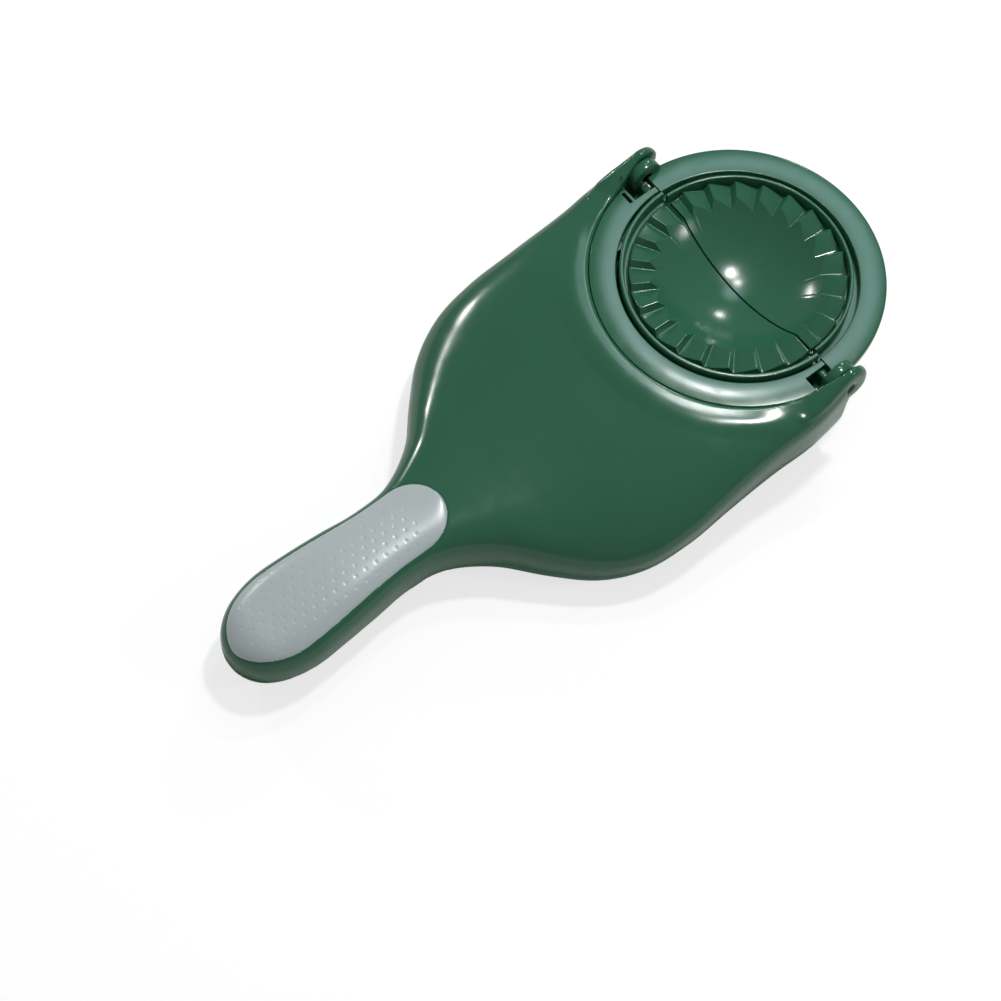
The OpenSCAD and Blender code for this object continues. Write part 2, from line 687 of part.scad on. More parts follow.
// The mould half that the leaf carries
module front_mould() {
    color(green)
    difference() {
        union() {
            pleat_body(1, leaf_shift, leaf_low_outer, leaf_ring_inner + ring_core / 2);
            half_ring(1, leaf_ring_inner, leaf_ring_outer, leaf_under - under_t, ring_top);
            half_ring(1, leaf_ring_inner + ring_core, under_edge_r, leaf_under - under_t, leaf_under);
        }
        for (a = leaf_screw_at) around(1, a, leaf_screw_r)
            cylinder(d = small_screw_d + 2 * screw_gap, h = deck_h);
    }
}

// Hinge pin on the side s
module hinge_pin(s) {
    color(steel)
    across(pin_d / 2, ear_outer - pin_sink - pin_len, ear_outer - pin_sink, s);
}

module hinge_pin_left() {
    hinge_pin(1);
}

module hinge_pin_right() {
    hinge_pin(-1);
}

// Screw with its head's outer face at the origin and its shaft pointing up
module screw(shaft_d, shaft_len, head_d, head_h) {
    difference() {
        union() {
            cylinder(d = head_d, h = head_h);
            cylinder(d = shaft_d, h = head_h + shaft_len);
        }
        for (a = [0, 90]) rotate([0, 0, a])
            translate([-head_d * recess_len / 2, -head_d * recess_w / 2, -eps])
                cube([head_d * recess_len, head_d * recess_w, eps + head_h * recess_deep]);
    }
}

// The screws that hold the base cover
module cover_screws() {
    color(steel)
    union() {
        for (p = cover_places) translate([hinge_x - p[0], p[1], head_sink])
            screw(cover_screw_d, cover_screw_len, cover_head_d, cover_head_h);
        translate([end_x + handle_screw, 0, handle_screw_z])
            screw(cover_screw_d, handle_screw_len, cover_head_d, cover_head_h);
    }
}

// The screws that hold the rear mould under the deck plate
module mould_screws() {
    color(steel)
    for (a = mould_screw_at) around(-1, a, lug_r)
        translate([0, 0, mould_low - small_head_h])
            screw(small_screw_d, under_t + lug_drop, small_head_d, small_head_h);
}

// The screws that hold the leaf's mould under its flange
module leaf_screws() {
    color(steel)
    for (a = leaf_screw_at) around(1, a, leaf_screw_r)
        translate([0, 0, leaf_under - under_t - small_head_h])
            screw(small_screw_d, under_t + leaf_pilot, small_head_d, small_head_h);
}

upper_shell();
base_cover();
grip_pad();
deck_plate();
rear_mould();
leaf_frame();
front_mould();
hinge_pin_left();
hinge_pin_right();
cover_screws();
mould_screws();
leaf_screws();
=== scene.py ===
# %% [markdown]
# # A hand-held dumpling maker
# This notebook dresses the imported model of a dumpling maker: a hollow glossy body with a soft grip, a fixed
# bowl with pleats under a low rim, and a leaf with a second bowl that folds over on two pins. The packed
# model is loaded first. Its pieces stay where they are, and every new piece is built around them.

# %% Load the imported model
import json
import math
import bmesh
import bpy
import numpy as np
from mathutils import Matrix, Vector


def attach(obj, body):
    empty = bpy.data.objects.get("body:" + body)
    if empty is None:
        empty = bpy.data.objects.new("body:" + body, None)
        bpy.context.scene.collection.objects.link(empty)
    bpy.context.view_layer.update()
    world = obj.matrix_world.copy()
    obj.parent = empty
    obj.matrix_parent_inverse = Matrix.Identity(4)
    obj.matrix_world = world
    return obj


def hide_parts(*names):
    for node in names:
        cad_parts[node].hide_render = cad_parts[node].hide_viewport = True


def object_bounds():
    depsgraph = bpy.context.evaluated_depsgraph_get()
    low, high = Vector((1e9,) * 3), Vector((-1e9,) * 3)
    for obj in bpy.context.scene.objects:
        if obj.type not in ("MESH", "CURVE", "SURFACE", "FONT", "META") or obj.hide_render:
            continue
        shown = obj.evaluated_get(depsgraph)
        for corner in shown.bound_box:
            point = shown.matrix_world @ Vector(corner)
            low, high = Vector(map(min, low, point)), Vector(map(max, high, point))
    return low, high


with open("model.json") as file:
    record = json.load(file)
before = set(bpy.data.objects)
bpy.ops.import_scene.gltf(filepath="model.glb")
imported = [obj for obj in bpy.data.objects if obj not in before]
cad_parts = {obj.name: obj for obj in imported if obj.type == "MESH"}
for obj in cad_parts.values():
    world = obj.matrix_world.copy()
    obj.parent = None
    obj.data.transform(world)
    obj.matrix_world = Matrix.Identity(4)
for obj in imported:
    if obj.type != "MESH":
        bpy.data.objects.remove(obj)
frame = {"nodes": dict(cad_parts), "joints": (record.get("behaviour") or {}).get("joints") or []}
packed_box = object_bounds()

# %% [markdown]
# ## Sizes
# Every size is a real one in millimetres, measured from the photograph through its camera and from the two
# dimension arrows. Blender works in metres, so one function turns finished points into metres at the end.

# %% The tool's main sizes, in millimetres
MM = 0.001
hinge_pos = frame["joints"][0]["pos_m"]
hinge_x = hinge_pos[0] / MM
deck_h = hinge_pos[2] / MM
end_x = packed_box[0][0] / MM
body_len = hinge_x - end_x
half_w = 44.7
seam_gap = 0.2  # half the gap between the halves, and the gap at the front of the body
edge_step = 0.08  # how far a bowl's straight edge stands back from its plate's
face_gap = 0.15  # deck and leaf lie this far from the plane in which they would meet when folded
deck_top = deck_h - face_gap
ring_top = deck_h + 1
rim_r = 38.4  # the low rim's inner radius
leaf_r = 37.8  # the leaf's outer radius
seat_z = 27.85  # the deck plate's underside
notch_x = hinge_x - 6.9  # where the knuckle notches end
sky_z = 60  # a height above everything, where cutters end
print(f"hinge at x {hinge_x:.2f} mm, body {body_len:.1f} mm long")

# %% [markdown]
# ## Helpers
# Small functions are used all over. They make a mesh object from points and faces, apply what the modifiers
# do, turn faces outwards, shade a mesh smoothly up to a chosen angle, run boolean steps, loft closed solids
# and add nodes.

# %% Mesh helpers
def mesh_object(name, points, faces):
    """A new object whose mesh has these points, in millimetres, and these faces."""
    mesh = bpy.data.meshes.new(name)
    mesh.from_pydata([tuple(c * MM for c in p) for p in points], [], [tuple(f) for f in faces])
    mesh.update()
    obj = bpy.data.objects.new(name, mesh)
    bpy.context.scene.collection.objects.link(obj)
    return obj


def apply_modifiers(obj):
    """Turns what the modifiers make into the object's own plain mesh."""
    bpy.context.view_layer.update()
    graph = bpy.context.evaluated_depsgraph_get()
    mesh = bpy.data.meshes.new_from_object(obj.evaluated_get(graph), depsgraph=graph)
    obj.modifiers.clear()
    old = obj.data
    obj.data = mesh
    bpy.data.meshes.remove(old)
    return obj


def outward(obj):
    """Merges doubled points and points all faces outwards."""
    bm = bmesh.new()
    bm.from_mesh(obj.data)
    bmesh.ops.remove_doubles(bm, verts=bm.verts, dist=0.002 * MM)
    bmesh.ops.recalc_face_normals(bm, faces=bm.faces)
    bm.to_mesh(obj.data)
    bm.free()
    return obj


def smooth_to(obj, degrees):
    """Shades smoothly, with sharp edges where faces meet at more than this angle."""
    obj.data.shade_smooth()
    obj.data.set_sharp_from_angle(angle=math.radians(degrees))
    return obj


def put_away(*objs):
    """Removes cutters and other helpers that aren't part of the tool."""
    for obj in objs:
        bpy.data.objects.remove(obj, do_unlink=True)


def join_into(obj, others):
    """Makes the others part of one object."""
    bpy.ops.object.select_all(action="DESELECT")
    for one in [obj, *others]:
        one.select_set(True)
    bpy.context.view_layer.objects.active = obj
    bpy.ops.object.join()


def boolean_step(obj, other, operation):
    """Adds an exact boolean with another object."""
    step = obj.modifiers.new(other.name, "BOOLEAN")
    step.operation = operation
    step.solver = "EXACT"
    step.object = other


def remesh_softly(obj, voxel):
    """Adds a fine voxel remesh, which rounds every edge a little, and smooths its steps."""
    remesh = obj.modifiers.new("voxels", "REMESH")
    remesh.mode = "VOXEL"
    remesh.voxel_size = voxel * MM
    soften = obj.modifiers.new("soften", "SMOOTH")
    soften.factor = 0.5
    soften.iterations = 4

# %% Closed solids from rows of points
def lofted(name, rows):
    """A closed solid between rows of points. Each row runs around, and both ends get a cap."""
    n, m = len(rows), len(rows[0])
    points = [p for row in rows for p in row]
    faces = [(k * m + i, k * m + (i + 1) % m, (k + 1) * m + (i + 1) % m, (k + 1) * m + i)
             for k in range(n - 1) for i in range(m)]
    faces += [tuple(range(m))[::-1], tuple(range((n - 1) * m, n * m))]
    return outward(mesh_object(name, points, faces))


def prism(name, outline, axis, low, high):
    """A straight solid over an outline. axis says along which axis it runs."""
    place = {"x": lambda a, b, c: (c, a, b), "z": lambda a, b, c: (a, b, c)}[axis]
    return lofted(name, [[place(a, b, c) for a, b in outline] for c in (low, high)])


def circle(x, y, r, n):
    """A circle of n points."""
    return [(x + r * math.cos(2 * math.pi * i / n), y + r * math.sin(2 * math.pi * i / n)) for i in range(n)]


def lathe_y(name, profile, x, z, side, steps):
    """A solid turned around an axis along Y. The profile holds (distance from the middle, radius) pairs."""
    rows = [[(x + r * math.cos(2 * math.pi * k / steps), side * y, z + r * math.sin(2 * math.pi * k / steps))
             for k in range(steps)] for y, r in profile]
    return lofted(name, rows)

# %% Outlines with rounded corners
def rounded(points, radius, steps=4):
    """A closed outline with each corner rounded by its own radius."""
    out = []
    for k, p in enumerate(points):
        p, a, b = Vector(p), Vector(points[k - 1]), Vector(points[(k + 1) % len(points)])
        r = radius[k]
        if r == 0:
            out.append(tuple(p))
            continue
        ra, rb = min(r, (a - p).length * 0.49), min(r, (b - p).length * 0.49)
        start, end = p + (a - p).normalized() * ra, p + (b - p).normalized() * rb
        for i in range(steps + 1):
            t = i / steps
            out.append(tuple(start * (1 - t) ** 2 + p * 2 * t * (1 - t) + end * t ** 2))
    return out

# %% Nodes
def add(tree, kind, settings=None, inputs=None):
    """Adds a node, sets its settings and fills its inputs: a node or socket is linked, a value is set."""
    node = tree.nodes.new(kind)
    for key, value in (settings or {}).items():
        setattr(node, key, value)
    for key, value in (inputs or {}).items():
        if isinstance(value, bpy.types.Node):
            value = value.outputs[0]
        if isinstance(value, bpy.types.NodeSocket):
            tree.links.new(value, node.inputs[key])
        else:
            node.inputs[key].default_value = value
    return node


def new_tree(name, sizes):
    """An empty Geometry Nodes tree with a geometry input and named sizes."""
    tree = bpy.data.node_groups.new(name, "GeometryNodeTree")
    tree.interface.new_socket("Geometry", in_out="INPUT", socket_type="NodeSocketGeometry")
    for key, value in sizes.items():
        socket = tree.interface.new_socket(key, in_out="INPUT", socket_type="NodeSocketFloat")
        socket.default_value = value
    tree.interface.new_socket("Geometry", in_out="OUTPUT", socket_type="NodeSocketGeometry")
    return tree, tree.nodes.new("NodeGroupInput"), tree.nodes.new("NodeGroupOutput")


def run_tree(obj, tree, sizes):
    """Runs a tree on an object with these sizes, each set by its socket's identifier."""
    mod = obj.modifiers.new(tree.name, "NODES")
    mod.node_group = tree
    for item in tree.interface.items_tree:
        if item.item_type == "SOCKET" and item.in_out == "INPUT" and item.name in sizes:
            mod[item.identifier] = sizes[item.name]
    return apply_modifiers(obj)

# %% [markdown]
# ## Materials
# Colours are written as sRGB hex values, as a colour picker shows them, and one function turns them to the
# linear values that the shader needs.

# %% Colour helper
def hex_colour(code):
    """A linear colour from an sRGB hex code."""
    parts = [int(code[i:i + 2], 16) / 255 for i in (1, 3, 5)]
    return [c / 12.92 if c <= 0.04045 else ((c + 0.055) / 1.055) ** 2.4 for c in parts] + [1]


def new_material(name, settings):
    """A material with a Principled shader whose sockets hold these values."""
    mat = bpy.data.materials.new(name)
    mat.use_nodes = True
    shader = mat.node_tree.nodes["Principled BSDF"]
    for key, value in settings.items():
        shader.inputs[key].default_value = value
    return mat, mat.node_tree, shader

# %% [markdown]
# **Moulded ABS, polished mould.** Glossy injection-moulded plastic: a clear reflection with a slight
# waviness from shrinkage, and a colour that varies a little where the melt flowed. The waves are about
# 9 mm long, and the flow clouds about 30 mm.

# %% Glossy green plastic
green, tree, shader = new_material("abs_gloss_green", {"IOR": 1.5, "Specular IOR Level": 0.5})
coords = add(tree, "ShaderNodeTexCoord").outputs["Object"]
clouds = add(tree, "ShaderNodeTexNoise",
             inputs={"Vector": coords, "Scale": 1 / 0.030, "Detail": 3.0, "Roughness": 0.5})
tint = add(tree, "ShaderNodeMix", {"data_type": "RGBA"},
           {0: clouds, 6: hex_colour("#2A6147"), 7: hex_colour("#2F684D")})
tree.links.new(tint.outputs[2], shader.inputs["Base Color"])
specks = add(tree, "ShaderNodeTexNoise",
             inputs={"Vector": coords, "Scale": 1 / 0.004, "Detail": 4.0, "Roughness": 0.6})
wear = add(tree, "ShaderNodeMapRange",
           inputs={"Value": specks, "From Min": 0.3, "From Max": 0.7, "To Min": 0.14, "To Max": 0.2})
tree.links.new(wear.outputs[0], shader.inputs["Roughness"])
waves = add(tree, "ShaderNodeTexNoise",
            inputs={"Vector": coords, "Scale": 1 / 0.009, "Detail": 1.0, "Roughness": 0.4})
ripple = add(tree, "ShaderNodeBump", inputs={"Height": waves, "Strength": 0.12, "Distance": 0.0004})
tree.links.new(ripple.outputs[0], shader.inputs["Normal"])
print("green plastic:", len(tree.nodes), "nodes")

# %% [markdown]
# **Soft thermoplastic rubber.** The grip is a satin grey with a fine grain and a faint sheen.

# %% Soft grey rubber
grey, tree, shader = new_material("tpe_soft_grey", {"Roughness": 0.27, "IOR": 1.5, "Specular IOR Level": 0.5})
coords = add(tree, "ShaderNodeTexCoord").outputs["Object"]
clouds = add(tree, "ShaderNodeTexNoise",
             inputs={"Vector": coords, "Scale": 1 / 0.018, "Detail": 2.0, "Roughness": 0.5})
tint = add(tree, "ShaderNodeMix", {"data_type": "RGBA"},
           {0: clouds, 6: hex_colour("#B7C1C2"), 7: hex_colour("#BFCACB")})
tree.links.new(tint.outputs[2], shader.inputs["Base Color"])
grain = add(tree, "ShaderNodeTexNoise",
            inputs={"Vector": coords, "Scale": 1 / 0.0008, "Detail": 2.0, "Roughness": 0.6})
fine = add(tree, "ShaderNodeBump", inputs={"Height": grain, "Strength": 0.15, "Distance": 0.00005})
tree.links.new(fine.outputs[0], shader.inputs["Normal"])
print("grey rubber:", len(tree.nodes), "nodes")

# %% [markdown]
# **Plated steel.** Pins and screws are zinc-plated steel, turned and rolled, with fine marks and small
# changes in roughness.

# %% Plated steel
steel, tree, shader = new_material("zinc_plated_steel", {"Metallic": 1.0})
coords = add(tree, "ShaderNodeTexCoord").outputs["Object"]
marks = add(tree, "ShaderNodeTexNoise",
            inputs={"Vector": coords, "Scale": 1 / 0.0006, "Detail": 3.0, "Roughness": 0.6})
tint = add(tree, "ShaderNodeMix", {"data_type": "RGBA"},
           {0: marks, 6: hex_colour("#A8ABAD"), 7: hex_colour("#C6C9CA")})
tree.links.new(tint.outputs[2], shader.inputs["Base Color"])
worn = add(tree, "ShaderNodeMapRange",
           inputs={"Value": marks, "From Min": 0.3, "From Max": 0.7, "To Min": 0.24, "To Max": 0.38})
tree.links.new(worn.outputs[0], shader.inputs["Roughness"])
print("materials:", green.name, grey.name, steel.name)

# %% [markdown]
# ## The body's shape
# The body is a bulb that runs into a handle. Its outline comes from a few half widths along its length, its
# side view from the heights of the crown, the widest line and the underside, and each section is a
# superellipse: a little boxy along the handle, almost an ellipse at the neck and almost a box near the hinge.
# A smooth curve through the few stations gives every section between them.

# %% Stations of the body, distances from the handle's end
width_at = [0, 4, 9, 17, 26, 36, 47, 57, 64, 70, 78, 87, 98, 110, 124, 140, 152, 162.2]
width_share = [0, 0.193, 0.259, 0.298, 0.29, 0.272, 0.25, 0.274, 0.35, 0.448, 0.642, 0.834,
               0.962, 1, 0.989, 0.978, 0.984, 0.96]
height_at = [0, 30, 60, 85, 110, 124, 140, 152, 162.2]
crown_rel = [-10.5, -7.9, -7.5, -5.8, -2, 0.3, 0.9, 2.2, 6]
waist_rel = [-20, -18.3, -19, -19, -14, -12, -10.8, -9.5, -8]
under_rel = [-25.5, -24.8, -26, -35, -36, -36, -36, -36, -36]
crown_exp = [3.2, 3.9, 3.8, 2.3, 2.5, 3.2, 5, 7, 8]
under_exp = 2.6
end_round, end_share = 9, 0.25
cover_high = 4
line_gap = 0.08


def curve(xs, ys, x):
    """Smooth curve through stations."""
    xs, ys, x = np.asarray(xs, float), np.asarray(ys, float), np.asarray(x, float)
    step, rise = np.diff(xs), np.diff(ys) / np.diff(xs)
    inner = (rise[:-1] * step[1:] + rise[1:] * step[:-1]) / (step[:-1] + step[1:])
    slope = np.concatenate([[rise[0]], inner, [rise[-1]]])
    k = np.clip(np.searchsorted(xs, x, side="right") - 1, 0, len(xs) - 2)
    h, t = step[k], (x - xs[k]) / step[k]
    return ((2 * t ** 3 - 3 * t ** 2 + 1) * ys[k] + (t ** 3 - 2 * t ** 2 + t) * h * slope[k]
            + (3 * t ** 2 - 2 * t ** 3) * ys[k + 1] + (t ** 3 - t ** 2) * h * slope[k + 1])


def body_width(d):
    """Half width of the body at the distance d from the handle's end."""
    return half_w * curve(np.sqrt(width_at), width_share, np.sqrt(np.minimum(d + 0.15, body_len)))


def closing(d):
    """Share of the full height that the rounded end of the handle has at d."""
    along = np.minimum(np.asarray(d, float) / end_round, 1)
    return end_share + (1 - end_share) * np.sqrt(1 - (1 - along) ** 2)


def waist(d):
    """Height of the widest line."""
    return deck_h + curve(height_at, waist_rel, d)


def rise(d):
    """Height of the crown over the widest line."""
    return closing(d) * (curve(height_at, crown_rel, d) - curve(height_at, waist_rel, d))


def drop(d):
    """Depth of the underside below the widest line."""
    return closing(d) * (curve(height_at, waist_rel, d) - curve(height_at, under_rel, d))


def crown_z(d, y):
    """Height of the upper surface at distance d from the handle's end and offset y."""
    n = curve(height_at, crown_exp, d)
    share = np.minimum(1, np.abs(y) / body_width(d))
    return waist(d) + rise(d) * (1 - share ** n) ** (1 / n)


def parting(d):
    """Height of the line where the base cover meets the shell."""
    return cover_high + np.maximum(0, waist(d) - drop(d))

# %% Rows of the body
row_at = np.concatenate([[0, 0.05, 0.15, 0.3, 0.5, 0.8, 1.2, 1.7, 2.3, 3, 3.8, 4.7, 5.7],
                         np.linspace(6.8, body_len - seam_gap, 150)])


def body_section(d, upper, low, steps):
    """Arc of the section at d, over the crown or under the keel, between two points at the height low."""
    n = float(curve(height_at, crown_exp, d)) if upper else under_exp
    a = math.asin(min(1, max(0, (waist(d) - low) / drop(d))) ** (under_exp / 2))
    points = []
    for i in range(steps + 1):
        if upper:
            u = -a + (math.pi + 2 * a) * i / steps
        else:
            u = -a - (math.pi - 2 * a) * i / steps
        c, s = math.cos(u), math.sin(u)
        power = 2 / (n if s >= 0 else under_exp)
        h = rise(d) if s >= 0 else drop(d)
        y = body_width(d) * math.copysign(abs(c) ** power, c)
        z = waist(d) + h * math.copysign(abs(s) ** power, s)
        points.append((end_x + d, float(y), float(max(0, z))))
    return points


upper_rows = [body_section(d, True, parting(d) + line_gap, 150) for d in row_at]
lower_rows = [body_section(d, False, parting(d) - line_gap, 110) for d in row_at]
print("body rows:", len(upper_rows), "widest half width:", round(float(np.max(body_width(row_at))), 2))

# %% [markdown]
# ## The upper shell
# The shell is one glossy moulding: bulb, handle, a low rim around the deck and an ear at each end of the
# hinge. Every edge on it is rounded. The rows above give one closed solid. Boolean cutters take out the
# deck's seat, the notches and the opening for the bowl. The ears and a sill in each notch are added, the pin
# holes are cut, and a fine voxel remesh joins it all with softly rounded edges. The seat is cut before the
# ears are added, because the exact solver loses the solid the other way round.

# %% The bowl's sizes, which the opening in the shell follows too
rear_x = hinge_x - seam_gap
bowl_deep, bowl_edge_r = 10, 22.9
pleat_high, pleat_low = 0.9, 3.05
bowl_ball = (bowl_edge_r ** 2 + (bowl_deep - pleat_high) ** 2) / (2 * (bowl_deep - pleat_high))
wall_t, moat_deep = 1.8, 3.8
print(f"the bowl is part of a ball of radius {bowl_ball:.2f} mm")

# %% Cutters
ledge_r, well_floor = 34.6, 17
front_wall_x = rear_x - 2
notch_low, notch_in_y, notch_out_y = 24.6, 33, 39.5
bore_r, bowl_room = 1.5, 0.2
window_back, window_front = 57, 66

well_plan = [p for p in circle(rear_x, 0, ledge_r, 128) if p[0] < front_wall_x]
seat_cut = prism("seat_cut", circle(rear_x, 0, rim_r, 256), "z", seat_z, sky_z)
well_cut = prism("well_cut", well_plan, "z", well_floor, sky_z)
bowl_r_out = bowl_ball + wall_t + bowl_room
bowl_mid_z = ring_top - bowl_deep + bowl_ball
floor_z = ring_top - moat_deep - wall_t - bowl_room
reach = math.sqrt(bowl_r_out ** 2 - (bowl_mid_z - floor_z) ** 2)
arc = [(y, bowl_mid_z - math.sqrt(bowl_r_out ** 2 - y ** 2)) for y in np.linspace(-reach, reach, 40)]
side_steps = [(33.2, sky_z), (33.2, floor_z), (30.75, floor_z), (30.75, 23.85), (29.25, 23.85),
              (29.25, floor_z)]
window_cut = prism("window_cut", [(-y, z) for y, z in side_steps] + arc + side_steps[::-1], "x",
                   window_back, window_front)
notch_wall = [(-6.9, 37.8), (-4.5, 38.6), (-1.5, 39.35), (1, notch_out_y)]
notch_plan = [(notch_x, notch_in_y), *[(hinge_x + x, y) for x, y in notch_wall],
              (hinge_x + 20, notch_out_y), (hinge_x + 20, notch_in_y)]
notch_cuts = [prism(f"notch_cut_{side}", [(x, side * y) for x, y in notch_plan], "z", notch_low, sky_z)
              for side in (-1, 1)]
pin_cuts = [lathe_y(f"pin_cut_{side}", [(38, bore_r), (50, bore_r)], hinge_x, deck_h, side, 32)
            for side in (-1, 1)]
print("cutters:", 3 + len(notch_cuts) + len(pin_cuts))

# %% The walls of the ears
rail_len, rail_rise = 16, 10


def ear_rail(name, side):
    """The wall that rises from the rim beside a notch and ends in a round ear around the pin."""
    front_x, ear_r, outer_y = hinge_x + 0.3, 6, 42.6
    wall_x, wall_y = zip(*notch_wall)
    stations = [(x, 0) for x in np.linspace(hinge_x - rail_len, hinge_x, 36)]
    stations += [(front_x + ear_r * math.sin(t), t) for t in np.linspace(0, math.pi / 2 - 0.02, 22)]
    rows = []
    for x, t in stations:
        dist = min(x - end_x, body_len - 0.01)
        lift = float(curve(height_at, crown_rel, dist)) if t == 0 else ear_r * math.cos(t)
        drop_by = ear_r if t == 0 else ear_r * math.cos(t)
        start_in = 1 - min(1, max(0, (x - hinge_x + rail_len) / rail_rise))
        past = min(1, max(0, (x - hinge_x - 3.8) / 2.5))
        y = min(float(body_width(dist)) - 0.2, outer_y + 0.12 * max(0, hinge_x - 1 - x)) - 1.7 * start_in ** 2
        y -= 1.1 * (1 - math.sqrt(1 - past ** 2 * 0.98))
        top = max(0.05, lift - 2.8 * start_in ** 2)
        rim_y = math.sqrt(rim_r ** 2 - (x - rear_x) ** 2)
        inner_y = 0.02 + (rim_y if x < notch_x else float(np.interp(x - hinge_x, wall_x, wall_y)))
        corner = min(1.9, top * 0.8 + 0.02)
        outline = rounded([(inner_y, deck_h - drop_by), (y, deck_h - drop_by), (y - 0.5, deck_h + top),
                           (inner_y, deck_h + top)], [0, corner, corner, 0], 6)
        rows.append([(x, side * a, z) for a, z in outline])
    return lofted(name, rows)


sill_back, sill_in_y, sill_out_y = hinge_x - 2.5, 32, 36.05
sill_low, sill_high = 20, 28.2
sill_plan = [(sill_back, sill_in_y), (rear_x, sill_in_y), (rear_x, sill_out_y), (sill_back, sill_out_y)]
sills = [prism(f"sill_{side}", [(x, side * y) for x, y in sill_plan], "z", sill_low, sill_high)
         for side in (-1, 1)]
ears = [ear_rail(f"ear_{side}", side) for side in (-1, 1)]
print("ear points:", len(ears[0].data.vertices))

# %% Cut, join and remesh the shell
shell_voxel = 0.57
upper_shell = lofted("shell_moulding", upper_rows)
tools = [seat_cut, well_cut, window_cut, *notch_cuts, *ears, *sills, *pin_cuts]
for tool in tools:
    boolean_step(upper_shell, tool, "UNION" if tool in ears + sills else "DIFFERENCE")
remesh_softly(upper_shell, shell_voxel)
apply_modifiers(upper_shell)
put_away(*tools)
print("shell faces:", len(upper_shell.data.polygons))

# %% [markdown]
# A voxel remesh leaves faint ripples that a glossy surface would show. So each point that lies away from
# an edge is put back on the exact body surface. Further steps level the shoulder around the deck, draw the
# rim's inner edge and sink the bed of the grip pad, with a soft edge around it.

# %% The grip's outline
grip_start, grip_end = 1, 65
grip_w, grip_front_w = 22.8, 18.6


def grip_half(s):
    """Half width of the grip pad at the share s of its length."""
    s = np.asarray(s, float)
    t = np.clip((s - 0.25) / 0.5, 0, 1)
    mid = grip_w / 2 + (grip_front_w - grip_w) / 2 * t * t * (3 - 2 * t)
    rear = np.sqrt(np.maximum(0, 1 - (1 - np.minimum(1, s / 0.24)) ** 2))
    front = np.sqrt(np.maximum(0, 1 - (1 - np.minimum(1, (1 - s) / 0.16)) ** 2))
    return mid * np.minimum(rear, front)


share = (1 - np.cos(np.linspace(0, math.pi, 160))) / 2
outline = np.stack([grip_start + (grip_end - grip_start) * share, grip_half(share)], 1)
print(f"grip: {grip_end - grip_start} mm long, {2 * float(grip_half(share).max()):.1f} mm wide")


def inside_grip(d, y):
    """Distance into the grip's outline, negative outside of it."""
    gap = np.full(len(d), 1e9)
    for p in outline:
        gap = np.minimum(gap, np.hypot(d - p[0], np.abs(y) - p[1]))
    s = np.clip((d - grip_start) / (grip_end - grip_start), 0, 1)
    within = (d > grip_start) & (d < grip_end) & (np.abs(y) < grip_half(s))
    return np.where(within, gap, -gap)


def ease(v):
    """A smooth step from 0 to 1."""
    v = np.clip(v, 0, 1)
    return v * v * (3 - 2 * v)

# %% Put the points back on the exact surface
co = np.empty(len(upper_shell.data.vertices) * 3)
upper_shell.data.vertices.foreach_get("co", co)
co = co.reshape(-1, 3) / MM
d = co[:, 0] - end_x
dc = np.clip(d, 0.01, body_len - 0.01)
dy, dz = co[:, 1], co[:, 2] - waist(dc)
above = dz >= 0
power = np.where(above, curve(height_at, crown_exp, dc), under_exp)
height = np.where(above, rise(dc), drop(dc))
level = ((np.abs(dy) / body_width(dc)) ** power + (np.abs(dz) / height) ** power) ** (1 / power)
to_centre = np.hypot(co[:, 0] - rear_x, dy)
keep = ease((d - 0.6) / 1.5) * ease((to_centre - rim_r - 0.1) / 0.5)
keep *= ease((co[:, 2] - parting(dc) - 0.7) / 0.6)
near_ear = np.minimum(ease((hinge_x - 14 - co[:, 0]) / 3) + ease((deck_h - 8 - co[:, 2]) / 3), 1)
keep *= near_ear * ease((body_len - seam_gap - 0.8 - d) / 0.6)
farthest_move = 0.7
keep *= np.abs(1 / level - 1) * np.hypot(dy, dz) < farthest_move
factor = 1 + keep * (1 / level - 1)
co[:, 1] = dy * factor
co[:, 2] = waist(dc) + dz * factor
print("points put back:", int((keep > 0.5).sum()), "of", len(co))

# %% Level the shoulder around the deck and draw its inner edge as a small clean rounding
band_z, band_in, band_out, edge_r = deck_h + 0.25, 41, 47.5, 0.8
to_centre = np.hypot(co[:, 0] - rear_x, co[:, 1])
top_z = crown_z(dc, np.clip(co[:, 1], -0.999 * body_width(dc), 0.999 * body_width(dc)))
level_part = ease((band_out - to_centre) / (band_out - band_in)) * ease((hinge_x - 12 - co[:, 0]) / 16)
lift = level_part * (band_z - top_z)
on_top = (np.abs(co[:, 2] - top_z) < 1.2) & (to_centre > rim_r - 1.2)
co[:, 2] += np.where(on_top, lift, 0)
a, b = to_centre - rim_r, top_z + lift - co[:, 2]
edge_part = ease((hinge_x - 14 - co[:, 0]) / 3)
near_edge = (np.abs(a) < 1.1) & (b > -1.2) & (b < 2.4)
to_arc = np.hypot(a - edge_r, b - edge_r) + 1e-9
in_corner = (a < edge_r) & (b < edge_r)
new_a = np.where(in_corner, edge_r + (a - edge_r) / to_arc * edge_r, np.where(b >= edge_r, 0, a))
new_b = np.where(in_corner, edge_r + (b - edge_r) / to_arc * edge_r, np.where(b >= edge_r, b, 0))
part = np.where(near_edge, edge_part, 0)
scale = 1 + part * (new_a - a) / to_centre
co[:, 0] = rear_x + (co[:, 0] - rear_x) * scale
co[:, 1] *= scale
co[:, 2] += part * (b - new_b)
print("points near the rim's edge:", int((part > 0.5).sum()))

# %% Sink the bed of the grip pad
bed = (co[:, 2] > waist(dc)) & (d < grip_end + 4)
bed_deep = 0.9
sunk = np.zeros(len(co))
sunk[bed] = bed_deep * ease((inside_grip(d[bed], co[bed, 1]) - 0.35) / 0.6)
co[:, 2] -= sunk
upper_shell.data.vertices.foreach_set("co", (co * MM).ravel())
upper_shell.data.update()
upper_shell.data.shade_smooth()
print("points in the bed:", int((sunk > 0).sum()))

